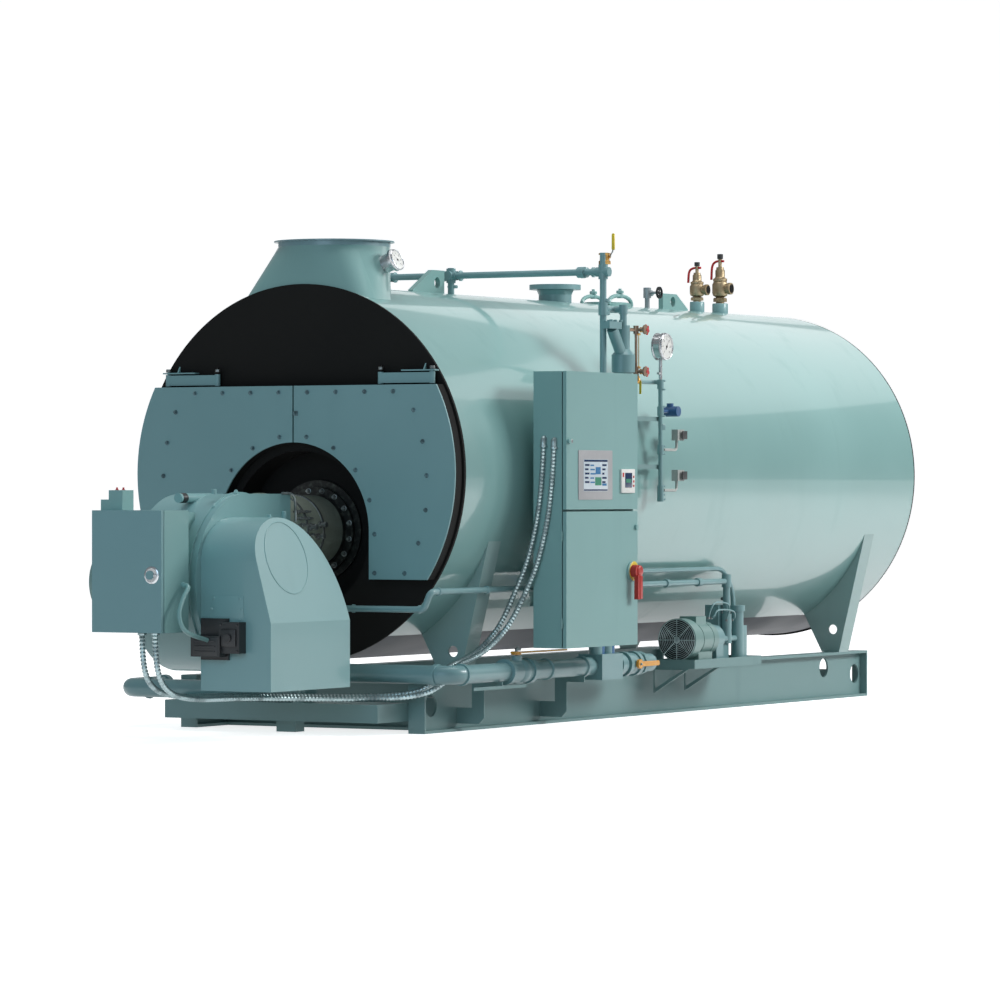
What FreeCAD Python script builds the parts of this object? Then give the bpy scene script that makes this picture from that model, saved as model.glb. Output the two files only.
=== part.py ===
import FreeCAD, Part
import math
import os

# A horizontal fire-tube steam boiler on a skid, with its burner, fuel train, controls and fittings.
# Millimetres, +Z up, +X from the burner end to the rear, and the control cabinet on the -Y side.
# While the pieces are made, X is measured from the front face of the shell. Every piece is then
# moved so that the origin is mid-skid, on the underside of the middle cross member.

V = FreeCAD.Vector

# Shell
shell_radius = 1150
shell_length = 6320
axis_height = 1560
jacket_thickness = 12
vessel_wall = 30
end_plate = 20
rear_plate = 15
belly_half_angle = 31.8
seat_gap = 0.3

# Skid and saddles
skid_length = 6120
skid_height = 323
rail_offset = 817
flange_width = 114
flange_thickness = 18
rail_web = 14
rail_end_plate = 16
rail_hole = 67
rail_holes = ((159, 163), (5519, 217), (6010, 161))
cross_depth = 200
cross_width = 120
cross_flange = 12
saddle_front_x = 415
saddle_rear_x = 5658
saddle_plate = 16
saddle_flange_width = 150
saddle_toe = 741
saddle_top_angle = 69.2
saddle_inner_angle = 31.8
saddle_hole = 34

# Front doors, carried by davit arms
burner_height = 1210
door_opening = 538
door_radius = 1137
door_top = 2090
door_bottom = 924
door_split = 5
door_gap = 5
door_depth = 73
door_plate = 12
door_pin_y = 585
post_y = 946
davit_x = -30
pin_radius = 8
eye_radius = 17
pin_clearance = 0.08
arm_bottom = 2101
arm_top = 2163
arm_width = 36
arm_wall = 6
bracket_plate = 8
bracket_z = 2172
recess_radius = 500
recess_depth = 208
recess_wall = 12

# Burner
head_radius = 218
head_flange_radius = 268
mount_ring_radius = 309
volute_half_width = 230
volute_back = -480
volute_front = -1500
volute_bottom = 392
volute_top = 1437
hood_front = -1442
hood_back = -582
hood_side = -710
hood_bottom = 300
hood_shoulder = 695
hood_top = 1300
hood_front_edge = 1050
hood_crown_x = -1120
hood_lean = 15.3
box_front = -1865
box_back = -1585
box_half_width = 240
box_bottom = 642
box_top = 1343
box_wall = 3
box_door_depth = 24
junction_x = (-1790, -1676)
junction_y = (80, 175)
junction_height = 116
motor_radius = 190
motor_length = 420
platform_front = -350
platform_half_width = 758
platform_bottom = 76
platform_top = 185
prop_x = -322
prop_y = -186
prop_radius = 12
foot_x = -120
foot_width = 136

# Stack outlet
stack_x = 382
stack_radius = 345
stack_ring_radius = 370
stack_top = 2984
stack_base_length = 373
stack_base_half_width = 465
stack_base_corner = 120
stack_base_z = 2612
stack_shoulder_z = 2948
stack_wall = 6
thermometer_x = 350
thermometer_z = 2835
thermometer_length = 62
thermometer_body = 56
dial_radius = 70

# Lifting lugs
lug_thickness = 35
lug_hole = 35
lug_front = (1287, 1677, 2857, 1589, 2776)
lug_rear = (5014, 4643, 2820, 4790, 2766)

# Openings and valves along the top
steam_x = 3150
steam_flange_radius = 171.5
steam_flange_thickness = 33
steam_top = 2822
steam_pipe_radius = 109.5
steam_bore = 100
steam_bolt_circle = 298.5
steam_bolt_count = 8
steam_bolt_radius = 11.1
manway_x = 3843
manway_half_length = 205
manway_half_width = 155
manway_rim = 34
manway_top = 2752
yoke_spacing = 103
yoke_length = 390
yoke_width = 46
yoke_top = 2785
vent_x = 4445
valve_small_x = 5165
valve_small_top = 3059
coupling_small = 51.5
valve_large_x = 5517
valve_large_top = 3131
coupling_large = 56
coupling_top = 2779

# Water column and control header
column_pipe_x = 1790
column_pipe_y = -1109
column_pipe_radius = 21
equalising_z = 2829
equalising_far_end = 470
upper_cross_z = 2596
lower_pipe_z = 1985
column_x = 1925
column_y = -1180
column_radius = 41
bowl_radius = 74
bowl_height = 110
column_bottom = 2200
column_top = 2495
glass_x = 2010
glass_y = -1225
glass_top = 2470
glass_bottom = 2206
gauge_y = -1264
gauge_z = 2372
gauge_radius = 80
gauge_depth = 56
header_x = 2328
header_y = -1230
header_radius = 14
header_top = 2162
header_bottom = 1396
control_z = (1811, 1553)
control_width = 89
control_height = 70
control_depth = 45
control_reach = 130
control_drop = 95
transmitter_z = 1961

# Control cabinet
cabinet_left = 729
cabinet_right = 1636
cabinet_front = -1437
cabinet_back = -1208
cabinet_bottom = 500
cabinet_top = 2180
cabinet_wall = 3
cabinet_door_depth = 25
cabinet_seam = 1335
cabinet_seam_half = 6
door_seal = 6
hinge_radius = 8
switch_x = 1557
switch_z = 957
switch_radius = 60
switch_handle_length = 175
bracket_places = ((900, 1850), (1480, 1850), (1400, 760), (1560, 760))
hinge_offset = 9
hinge_length = 60
hinge_pin = 4

# Electric conduits from the cabinet to the burner box
conduit_radius = 17
conduit_elbow = 20
conduit_elbow_x = 684
conduit_exits = ((-1277, 1775), (-1347, 1765))

# Fuel train
gas_radius = 57
gas_y = -1100
gas_over_cross_pipe = 2
gas_z = platform_top + 3 * gas_radius + gas_over_cross_pipe
gas_to_front_plate = 3
gas_front_x = -(gas_radius + gas_to_front_plate)
gas_end_x = 2420
gas_valve_x = 708
gas_valve_half = 150
gas_second_x = 2130
gas_second_half = 85
gas_elbow = 96
gas_collar = 24
lever_rise = 51
lever_z = gas_z + gas_radius + lever_rise
lever_length = 600
second_lever_length = 240
second_lever_reach = 29
second_lever_y = gas_y - gas_radius - second_lever_reach
shutoff_x = (1640, 1910)
gas_bracket_x = (465, 1490)
gas_rest = (130, 760)
cross_pipe_y = (-150, 1200)
cross_pipe_end = 320

# Combustion air line and pump module
air_radius = 19
air_y = -1045
air_z = 856
air_cross_z = 751
air_front_x = -220
pump_pipe_x = 3605
pump_pipe_collar = 32
air_rear_x = pump_pipe_x - pump_pipe_collar - seat_gap
air_low_y = -1002
air_end_y = -60
tray_front = 2893
tray_rear = 3850
tray_y = (-1180, -892)
tray_z = (300, 360)
tray_brackets = (2901, 3330)
tray_bracket_foot = 141
pump_motor_x = 2903
pump_motor_y = -1046
pump_motor_z = 486
fan_guard_radius = 139
pump_motor_radius = 112
pump_motor_length = 380
filter_x = 3760
filter_radius = 42
filter_top = 694
filter_neck = 6
oil_line_z = 940
oil_end_x = 1500


def box(x, y, z):
    """A block between two limits along each axis."""
    return Part.makeBox(x[1] - x[0], y[1] - y[0], z[1] - z[0], V(x[0], y[0], z[0]))


def rod(radius, start, end):
    """A round bar from one point to another."""
    start = V(*start)
    along = V(*end) - start
    return Part.makeCylinder(radius, along.Length, start, along)


def tube(outer, inner, start, end):
    """A round tube, open at both ends."""
    along = (V(*end) - V(*start)).normalize()
    low = V(*start) - along
    high = V(*end) + along
    return rod(outer, start, end).cut(rod(inner, tuple(low), tuple(high)))


def cone(radius_start, radius_end, start, end):
    """A taper between two radii."""
    start = V(*start)
    along = V(*end) - start
    return Part.makeCone(radius_start, radius_end, along.Length, start, along)


def fuse(shapes):
    """One solid from touching shapes."""
    shapes = list(shapes)
    whole = shapes[0].multiFuse(shapes[1:]) if len(shapes) > 1 else shapes[0]
    return whole.removeSplitter()


def plate_yz(points, x):
    """A flat plate cut to an outline of (y, z) points, between two stations along the boiler."""
    wire = Part.makePolygon([V(x[0], y, z) for y, z in points + points[:1]])
    return Part.Face(wire).extrude(V(x[1] - x[0], 0, 0))


def plate_xz(points, y):
    """A flat plate cut to an outline of (x, z) points, between two stations across the boiler."""
    wire = Part.makePolygon([V(x, y[0], z) for x, z in points + points[:1]])
    return Part.Face(wire).extrude(V(0, y[1] - y[0], 0))


def pipe(radius, points, bend):
    """A pipe along straight runs, with every corner turned in an elbow of the given radius."""
    points = [V(*point) for point in points]
    edges = []
    start = points[0]
    for before, corner, after in zip(points, points[1:], points[2:]):
        back = (before - corner).normalize()
        ahead = (after - corner).normalize()
        half = math.acos(max(-1.0, min(1.0, back.dot(ahead)))) / 2
        setback = bend / math.tan(half)
        first = corner + back * setback
        last = corner + ahead * setback
        middle_way = (back + ahead).normalize()
        middle = corner + middle_way * (bend / math.sin(half) - bend)
        edges.append(Part.makeLine(start, first))
        edges.append(Part.Arc(first, middle, last).toShape())
        start = last
    edges.append(Part.makeLine(start, points[-1]))
    line = Part.Wire(edges)
    heading = points[1] - points[0]
    section = Part.Wire(Part.makeCircle(radius, points[0], heading))
    return line.makePipeShell([section], True, True)


def shell_surface_z(y, radius=shell_radius):
    """Height of the top of the shell at a distance from the centre line."""
    return axis_height + math.sqrt(radius ** 2 - y ** 2)


def shell_surface_y(z, radius=shell_radius):
    """Half width of the shell at a height."""
    return math.sqrt(radius ** 2 - (z - axis_height) ** 2)


def around_shell(clearance=seat_gap):
    """The round space taken by the shell, which everything seated on it is cut to."""
    start = (-10, 0, axis_height)
    end = (shell_length + 10, 0, axis_height)
    return rod(shell_radius + clearance, start, end)


def mirrored(shape):
    """The same piece on the other side of the boiler."""
    return shape.mirror(V(0, 0, 0), V(0, 1, 0))


def save(name, shape):
    """Move a piece from shell stations to the part's own origin and write it."""
    shape = shape.copy()
    shape.translate(V(-skid_length / 2, 0, 0))
    shape.exportStep("parts/" + name + ".step")
    print(name, len(shape.Solids), round(shape.Volume / 1e6, 2), "litres")


# Skid ------------------------------------------------------------------------------------------

def skid_rail():
    """One I-section rail on the -Y side, closed by a plate at each end."""
    y = -rail_offset
    half = flange_width / 2
    length = (0, skid_length)
    low = box(length, (y - half, y + half), (0, flange_thickness))
    high = box(length, (y - half, y + half), (skid_height - flange_thickness, skid_height))
    web = box(length, (y - rail_web / 2, y + rail_web / 2), (0, skid_height))
    for x, z in rail_holes:
        web = web.cut(rod(rail_hole, (x, y - half, z), (x, y + half, z)))
    front = box((0, rail_end_plate), (y - half, y + half), (0, skid_height))
    rear = box((skid_length - rail_end_plate, skid_length), (y - half, y + half), (0, skid_height))
    return fuse([low, high, web, front, rear])


def cross_member(x):
    """An I-section member between the rails, with its underside on the ground."""
    inside = rail_offset - flange_width / 2
    to_web = rail_offset - rail_web / 2
    half = cross_width / 2
    low = box((x - half, x + half), (-inside, inside), (0, flange_thickness))
    web = box((x - rail_web / 2, x + rail_web / 2), (-to_web, to_web), (flange_thickness, cross_depth))
    high = box((x - half, x + half), (-to_web, to_web), (cross_depth - cross_flange, cross_depth))
    return fuse([low, web, high])


def on_shell(angle_from_bottom, radius=shell_radius):
    """(y, z) of a point on the -Y side of the shell, by its angle from the lowest point."""
    angle = math.radians(angle_from_bottom)
    return -radius * math.sin(angle), axis_height - radius * math.cos(angle)


def saddle_leg(x):
    """One plate leg of a saddle, standing on a rail, with a flange along its outer edge."""
    outer_toe = -(rail_offset + flange_width / 2)
    top = on_shell(saddle_top_angle)
    inner = on_shell(saddle_inner_angle)
    outline = [(outer_toe, skid_height), top, (inner[0] / 1.02, top[1]), inner, (-saddle_toe, skid_height)]
    web = plate_yz(outline, (x, x + saddle_plate))
    hole_y = outer_toe + 49
    hole_z = skid_height + 159
    web = web.cut(rod(saddle_hole, (x - 1, hole_y, hole_z), (x + saddle_plate + 1, hole_y, hole_z)))
    slant = V(0, top[0] - outer_toe, top[1] - skid_height).normalize()
    inward = V(0, slant.z, -slant.y) * saddle_plate
    edge = [(outer_toe, skid_height), top, (top[0] + inward.y, top[1] + inward.z),
            (outer_toe + inward.y, skid_height)]
    flange = plate_yz(edge, (x, x + saddle_flange_width))
    leg = fuse([web, flange]).cut(around_shell())
    below_rail = box((x - 5, x + 400), (-1500, 0), (0, skid_height))
    leg = leg.cut(below_rail)
    return max(leg.Solids, key=lambda solid: solid.Volume)


def skid():
    """Rails, cross members and saddles."""
    rail = skid_rail()
    save("skid_rail_right", rail)
    save("skid_rail_left", mirrored(rail))
    stations = (saddle_front_x, skid_length / 2, saddle_rear_x + saddle_plate)
    save("skid_cross_members", Part.makeCompound([cross_member(x) for x in stations]))
    for name, x in (("saddle_front", saddle_front_x), ("saddle_rear", saddle_rear_x)):
        leg = saddle_leg(x)
        save(name, Part.makeCompound([leg, mirrored(leg)]))


# Shell -----------------------------------------------------------------------------------------

def shell_ring(outer, inner, x):
    """A round tube on the boiler's axis, between two stations."""
    return tube(outer, inner, (x[0], 0, axis_height), (x[1], 0, axis_height))


def shell():
    """The round pressure vessel, its painted jacket, its two ends and the furnace recess."""
    inside = (end_plate, shell_length - rear_plate)
    vessel_radius = shell_radius - jacket_thickness - seat_gap
    save("vessel_shell", shell_ring(vessel_radius, vessel_radius - vessel_wall, inside))
    jacket = shell_ring(shell_radius, shell_radius - jacket_thickness, inside)
    reach = 2 * shell_radius
    half = math.radians(belly_half_angle)
    side = reach * math.tan(half)
    wedge = [(0, axis_height), (side, axis_height - reach), (-side, axis_height - reach)]
    save("jacket", jacket.cut(plate_yz(wedge, (0, shell_length))))
    front = rod(shell_radius, (0, 0, axis_height), (end_plate, 0, axis_height))
    hole = rod(recess_radius, (-1, 0, burner_height), (end_plate + 1, 0, burner_height))
    save("front_plate", front.cut(hole))
    save("rear_plate", rod(shell_radius, (inside[1], 0, axis_height), (shell_length, 0, axis_height)))
    outer = recess_radius - seat_gap
    wall = tube(outer, outer - recess_wall, (0, 0, burner_height), (recess_depth, 0, burner_height))
    back = rod(outer, (recess_depth, 0, burner_height), (recess_depth + recess_wall, 0, burner_height))
    save("burner_recess", fuse([wall, back]))


# Doors -----------------------------------------------------------------------------------------

def door_outline(x):
    """The right-hand front door's shape: part of a disc, cut straight above and below."""
    disc = rod(door_radius, (x[0], 0, axis_height), (x[1], 0, axis_height))
    limits = box(x, (-door_radius, -door_split), (door_bottom, door_top))
    tunnel = fuse([
        rod(door_opening, (x[0], 0, burner_height), (x[1], 0, burner_height)),
        box(x, (-door_opening, door_opening), (door_bottom - 1, burner_height)),
    ])
    return disc.common(limits).cut(tunnel)


def door_body():
    """The deep insulated part of the door, with the pin that hangs it from the davit arm."""
    back = -door_gap
    front = back - door_depth
    body = door_outline((front, back))
    boss = rod(24, (davit_x, -door_pin_y, door_top), (davit_x, -door_pin_y, door_top + 6.5))
    pin = rod(pin_radius, (davit_x, -door_pin_y, door_top), (davit_x, -door_pin_y, arm_top + 46))
    collar = rod(18, (davit_x, -door_pin_y, arm_top + 5.5), (davit_x, -door_pin_y, arm_top + 19))
    return fuse([body, boss, pin, collar])


def davit_arm():
    """A channel arm with an eye at each end."""
    x = (davit_x - arm_width / 2, davit_x + arm_width / 2)
    z = (arm_bottom, arm_top)
    bar = box(x, (-post_y, -door_pin_y), z)
    hollow = box((x[0] + arm_wall, x[1] - arm_wall), (-post_y, -door_pin_y), (z[0], z[1] - arm_wall))
    eyes = [rod(eye_radius, (davit_x, y, z[0] - 4), (davit_x, y, z[1] + 5)) for y in (-post_y, -door_pin_y)]
    arm = fuse([bar.cut(hollow)] + eyes)
    for y in (-post_y, -door_pin_y):
        arm = arm.cut(rod(pin_radius + pin_clearance, (davit_x, y, z[0] - 9), (davit_x, y, z[1] + 9)))
    return arm


def davit_bracket():
    """The plate on the front of the shell that the davit arm's fixed pin hangs from."""
    plate = box((davit_x - 22, 0), (-post_y - 28, -post_y + 206), (bracket_z, bracket_z + bracket_plate))
    pin = rod(pin_radius, (davit_x, -post_y, arm_bottom - 3), (davit_x, -post_y, bracket_z + 20))
    rib_y = -post_y + 60
    rib = plate_xz([(davit_x, bracket_z), (0, bracket_z), (0, bracket_z + 46)], (rib_y, rib_y + 8))
    return fuse([plate, pin, rib])


def doors():
    """Both front doors with the arms that swing them clear."""
    body = door_body()
    back = -door_gap - door_depth
    plate = door_outline((back - door_plate, back))
    arm = davit_arm()
    save("door_right_body", body)
    save("door_left_body", mirrored(body))
    save("door_right_plate", plate)
    save("door_left_plate", mirrored(plate))
    save("davit_arm_right", arm)
    save("davit_arm_left", mirrored(arm))
    bracket = davit_bracket()
    save("davit_brackets", Part.makeCompound([bracket, mirrored(bracket)]))


# Burner ----------------------------------------------------------------------------------------

def burner_head():
    """The blast tube, with the flange that bolts it to the furnace mouth."""
    z = burner_height
    back = recess_depth
    ring = rod(mount_ring_radius, (back - 18, 0, z), (back, 0, z))
    flange = rod(head_flange_radius, (back - 44, 0, z), (back - 18, 0, z))
    barrel = rod(head_radius, (volute_back, 0, z), (back - 44, 0, z))
    band = rod(head_radius + 14, (volute_back, 0, z), (volute_back + 30, 0, z))
    return fuse([ring, flange, barrel, band])


def scroll_outline():
    """The fan scroll seen from the side: a round drum that runs up into the outlet."""
    radius = (volute_top - volute_bottom) / 2
    middle_z = (volute_top + volute_bottom) / 2
    middle_x = volute_front + radius
    return radius, middle_x, middle_z


def burner_volute():
    """The fan scroll, a drum across the burner with its outlet towards the shell."""
    radius, middle_x, middle_z = scroll_outline()
    low, high = -volute_half_width, volute_half_width
    drum = rod(radius, (middle_x, low, middle_z), (middle_x, high, middle_z))
    outlet = box((middle_x, volute_back), (low, high), (burner_height - volute_half_width, volute_top))
    seam = rod(radius + 12, (middle_x, low + 40, middle_z), (middle_x, low + 48, middle_z))
    stub_z = volute_top - 24
    stub = rod(28, (middle_x - 358, 0, stub_z), (middle_x, 0, stub_z))
    tube_end = rod(head_radius + 14 + seat_gap, (volute_back - seat_gap, 0, burner_height),
                   (0, 0, burner_height))
    return fuse([drum, outlet, seam, stub]).cut(tube_end)


def burner_air_inlet():
    """The air-inlet hood on the near side: a box below, and a crowned duct that leans in above."""
    corners = [V(hood_back, hood_side, hood_shoulder), V(hood_back, hood_side, hood_bottom),
               V(hood_front, hood_side, hood_bottom), V(hood_front, hood_side, hood_front_edge)]
    crown = V(hood_crown_x, hood_side, hood_top)
    edges = [Part.makeLine(first, last) for first, last in zip(corners, corners[1:])]
    edges.append(quarter_curve(crown, corners[3]))
    edges.append(quarter_curve(crown, corners[0]))
    face = Part.Face(Part.Wire(edges))
    whole = face.extrude(V(0, -volute_half_width - seat_gap - hood_side, 0))
    reach = 2 * (hood_top - hood_shoulder)
    lean = reach * math.tan(math.radians(hood_lean))
    off_cut = Part.makePolygon([V(hood_front - 500, hood_side, hood_shoulder),
                                V(hood_front - 500, hood_side + lean, hood_shoulder + reach),
                                V(hood_front - 500, hood_side - reach, hood_shoulder + reach),
                                V(hood_front - 500, hood_side - reach, hood_shoulder),
                                V(hood_front - 500, hood_side, hood_shoulder)])
    off_cut = Part.Face(off_cut).extrude(V(2000, 0, 0))
    return whole.cut(off_cut)


def quarter_curve(crown, foot):
    """A quarter of an ellipse from a crown, level there, down to an upright foot."""
    wide = foot.x - crown.x
    high = crown.z - foot.z
    points = []
    for step in range(9):
        angle = math.pi / 2 * (1 - step / 8)
        points.append(V(crown.x + wide * math.cos(angle), crown.y, foot.z + high * math.sin(angle)))
    curve = Part.BSplineCurve()
    curve.interpolate(points)
    return curve.toShape()


def burner_box():
    """The burner's control enclosure, open to the front."""
    y = (-box_half_width, box_half_width)
    z = (box_bottom, box_top)
    front = box_front + box_door_depth + door_seal
    body = box((front, box_back), y, z)
    inner = box((front - 1, box_back - box_wall), (y[0] + box_wall, y[1] - box_wall),
                (z[0] + box_wall, z[1] - box_wall))
    top = burner_height + 120
    bottom = burner_height - 480
    neck_end = volute_front + 160
    neck = box((box_back, neck_end), (-120, 120), (bottom, top))
    radius, middle_x, middle_z = scroll_outline()
    scroll = rod(radius + seat_gap, (middle_x, -400, middle_z), (middle_x, 400, middle_z))
    neck = neck.cut(scroll)
    neck = min(neck.Solids, key=lambda solid: solid.CenterOfMass.x)
    junction = box(junction_x, junction_y, (box_top, box_top + junction_height))
    side_box = box(junction_x, (junction_y[1], junction_y[1] + 55), (box_top, box_top + 62))
    pivot = (box_front + box_door_depth + door_seal / 2, box_half_width + hinge_offset)
    fixed = [turned(flipped(hinge_fixed(z)), -90, pivot) for z in hinge_levels(box_bottom, box_top)]
    return fuse([body.cut(inner), neck, junction, side_box] + fixed)


def hinge_levels(bottom, top):
    """Heights of the two hinges of a door."""
    return bottom + 120, top - 120 - hinge_length


def hinge_fixed(z):
    """The frame half of a hinge on the line x=0, y=0: a pin, its lower knuckle and a strap."""
    pin = rod(hinge_pin, (0, 0, z), (0, 0, z + hinge_length))
    knuckle = rod(hinge_radius, (0, 0, z), (0, 0, z + hinge_length / 2 - 0.5))
    strap = box((-hinge_offset - 2, 0), (2, hinge_radius), (z, z + hinge_length / 2 - 0.5))
    return fuse([pin, knuckle, strap])


def hinge_moving(z):
    """The door half: the upper knuckle with its strap, free to turn on the pin."""
    low = z + hinge_length / 2
    high = z + hinge_length
    knuckle = rod(hinge_radius, (0, 0, low), (0, 0, high))
    strap = box((-hinge_offset - 2, 0), (-hinge_radius, -3.5), (low, high))
    return fuse([knuckle, strap]).cut(rod(hinge_pin + pin_clearance, (0, 0, low - 1), (0, 0, high + 1)))


def flipped(shape):
    """The same hinge half for a door hung on its other edge."""
    return shape.mirror(V(0, 0, 0), V(1, 0, 0))


def turned(shape, degrees, pivot):
    """A hinge half turned about its own line and set at its pivot."""
    shape = shape.copy()
    shape.rotate(V(0, 0, 0), V(0, 0, 1), degrees)
    shape.translate(V(pivot[0], pivot[1], 0))
    return shape


def pan(x, y, z, wall, open_side):
    """A shallow folded door: a skin with its edges turned back."""
    whole = box(x, y, z)
    inner_x = (x[0] + wall, x[1] - wall)
    inner_y = (y[0] + wall, y[1] - wall)
    if open_side == "x":
        inner_x = (x[0] + wall, x[1] + 1)
    else:
        inner_y = (y[0] + wall, y[1] + 1)
    return whole.cut(box(inner_x, inner_y, (z[0] + wall, z[1] - wall)))


def burner():
    """Blast tube, scroll, air hood, control box and their helpers."""
    z = burner_height
    save("burner_head", burner_head())
    save("burner_volute", burner_volute())
    save("burner_air_inlet", burner_air_inlet())
    save("burner_box", burner_box())
    door = pan((box_front, box_front + box_door_depth), (-box_half_width, box_half_width),
               (box_bottom, box_top), box_wall, "x")
    latch_y = -box_half_width + 75
    latch = rod(26, (box_front - 10, latch_y, z - 237), (box_front, latch_y, z - 237))
    pivot = (box_front + box_door_depth + door_seal / 2, box_half_width + hinge_offset)
    moving = [turned(flipped(hinge_moving(level)), -90, pivot) for level in hinge_levels(box_bottom, box_top)]
    save("burner_box_door", fuse([door, latch] + moving))
    servo_x = (hood_front - 92, hood_front - seat_gap)
    servo = fuse([
        box(servo_x, (hood_side + 290, hood_side + 490), (500, 620)),
        box((servo_x[0] + 20, servo_x[1]), (hood_side + 170, hood_side + 310), (520, 700)),
        box((servo_x[1] - 16, servo_x[1]), (hood_side + 280, hood_side + 470), (480, 720)),
    ])
    save("burner_actuator", servo)
    radius, middle_x, middle_z = scroll_outline()
    near = volute_half_width
    motor = fuse([
        rod(motor_radius + 60, (middle_x, near, middle_z), (middle_x, near + 20, middle_z)),
        rod(motor_radius, (middle_x, near, middle_z), (middle_x, near + motor_length, middle_z)),
        rod(motor_radius + 12, (middle_x, near + motor_length, middle_z),
            (middle_x, near + motor_length + 90, middle_z)),
        box((middle_x - 80, middle_x + 80), (near + 120, near + 300),
            (middle_z, middle_z + motor_radius + 80)),
    ])
    save("burner_motor", motor)
    deck = box((platform_front, -seat_gap), (-platform_half_width, platform_half_width),
               (platform_bottom, platform_top))
    foot = box((foot_x - 50, foot_x + 50), (-foot_width / 2, foot_width / 2), (0, platform_bottom))
    behind = rail_end_plate + seat_gap
    ties = []
    for side in (-1, 1):
        edge = sorted((side * (platform_half_width - 12), side * platform_half_width))
        wide = sorted((side * (platform_half_width - 12), side * (rail_offset - 12)))
        ties.append(box((-60, behind + 10), edge, (platform_bottom, platform_top)))
        ties.append(box((behind, behind + 10), wide, (platform_bottom, platform_top)))
    prop = rod(prop_radius, (prop_x, prop_y, platform_top + seat_gap), (prop_x, prop_y, burner_height))
    tube_end = rod(head_radius + seat_gap, (volute_back - 60, 0, burner_height), (0, 0, burner_height))
    pad = rod(34, (prop_x, prop_y, platform_top + seat_gap), (prop_x, prop_y, platform_top + 12))
    prop = fuse([prop.cut(tube_end), pad])
    save("burner_platform", Part.makeCompound([fuse([deck, foot] + ties), prop]))


# Stack -----------------------------------------------------------------------------------------

def rounded_rectangle(x, y, z, corner):
    """A rectangle with round corners, as eight edges that start on the +X side."""
    edges = []
    corners = [(x[1], y[0], 1, -1), (x[1], y[1], 1, 1), (x[0], y[1], -1, 1), (x[0], y[0], -1, -1)]
    arcs = []
    for cx, cy, sx, sy in corners:
        centre = V(cx - sx * corner, cy - sy * corner, z)
        along_x = V(cx - sx * corner, cy, z)
        along_y = V(cx, cy - sy * corner, z)
        reach = corner / math.sqrt(2)
        middle = V(centre.x + sx * reach, centre.y + sy * reach, z)
        first, last = (along_x, along_y) if sx * sy < 0 else (along_y, along_x)
        arcs.append((first, middle, last))
    for index, (first, middle, last) in enumerate(arcs):
        edges.append(Part.Arc(first, middle, last).toShape())
        following = arcs[(index + 1) % 4][0]
        edges.append(Part.makeLine(last, following))
    return Part.Wire(edges)


def circle_in_eight(x, radius, z):
    """A circle cut into eight arcs that pair with the edges of a rounded rectangle."""
    def at(degrees):
        angle = math.radians(degrees)
        return V(x + radius * math.cos(angle), radius * math.sin(angle), z)
    stops = (-55, -35, 35, 55, 125, 145, 215, 235, 305)
    return Part.Wire([Part.Arc(at(a), at((a + b) / 2), at(b)).toShape() for a, b in zip(stops, stops[1:])])


def stack_shape(inset):
    """The transition from the rectangular flue opening to the round stack, with a skirt below it."""
    x = (inset, stack_base_length - inset)
    y = (-stack_base_half_width + inset, stack_base_half_width - inset)
    base = rounded_rectangle(x, y, stack_base_z, stack_base_corner - inset)
    top = circle_in_eight(stack_x, stack_radius - inset, stack_shoulder_z)
    transition = Part.makeLoft([base, top], True, True)
    skirt = Part.Face(base).extrude(V(0, 0, -60))
    return fuse([transition, skirt])


def stack_thermometer():
    """A dial thermometer on a short sleeve, square to the leaning side of the transition."""
    rise = stack_shoulder_z - stack_base_z
    lean = math.atan2(stack_base_half_width - stack_radius, rise)
    level = (thermometer_z - stack_base_z) / rise
    y = -stack_base_half_width + level * (stack_base_half_width - stack_radius)
    out = V(0, -math.cos(lean), math.sin(lean))
    foot = V(thermometer_x, y, thermometer_z) - out * 40
    neck = V(thermometer_x, y, thermometer_z) + out * thermometer_length
    face = neck + out * 16
    sleeve = rod(thermometer_body, tuple(foot), tuple(neck))
    dial = rod(dial_radius, tuple(neck), tuple(face))
    outside = stack_shape(-seat_gap)
    return fuse([sleeve, dial]).cut(outside)


def stack():
    """Flue transition, collar and thermometer."""
    skin = stack_shape(0).cut(around_shell())
    inner = stack_shape(stack_wall)
    base = skin.cut(inner)
    save("stack_base", max(base.Solids, key=lambda solid: solid.Volume))
    z = (stack_shoulder_z, stack_top)
    collar = tube(stack_radius, stack_radius - stack_wall, (stack_x, 0, z[0]), (stack_x, 0, z[1]))
    ring = tube(stack_ring_radius, stack_radius - stack_wall, (stack_x, 0, z[1] - 8), (stack_x, 0, z[1]))
    save("stack_collar", fuse([collar, ring]))
    save("stack_thermometer", max(stack_thermometer().Solids, key=lambda solid: solid.Volume))


# Fittings along the top ------------------------------------------------------------------------

def lifting_lug(size):
    """A lifting plate with a sloping toe, a straight heel and a round eye."""
    toe, heel, top, hole_x, hole_z = size
    step = 1 if heel > toe else -1
    outline = [(toe, 2600), (toe, shell_radius + axis_height + 12), (hole_x - step * 55, top),
               (heel, top), (heel, 2600)]
    plate = plate_xz(outline, (-lug_thickness / 2, lug_thickness / 2))
    plate = plate.cut(rod(lug_hole, (hole_x, -lug_thickness, hole_z), (hole_x, lug_thickness, hole_z)))
    return plate.cut(around_shell())


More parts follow.
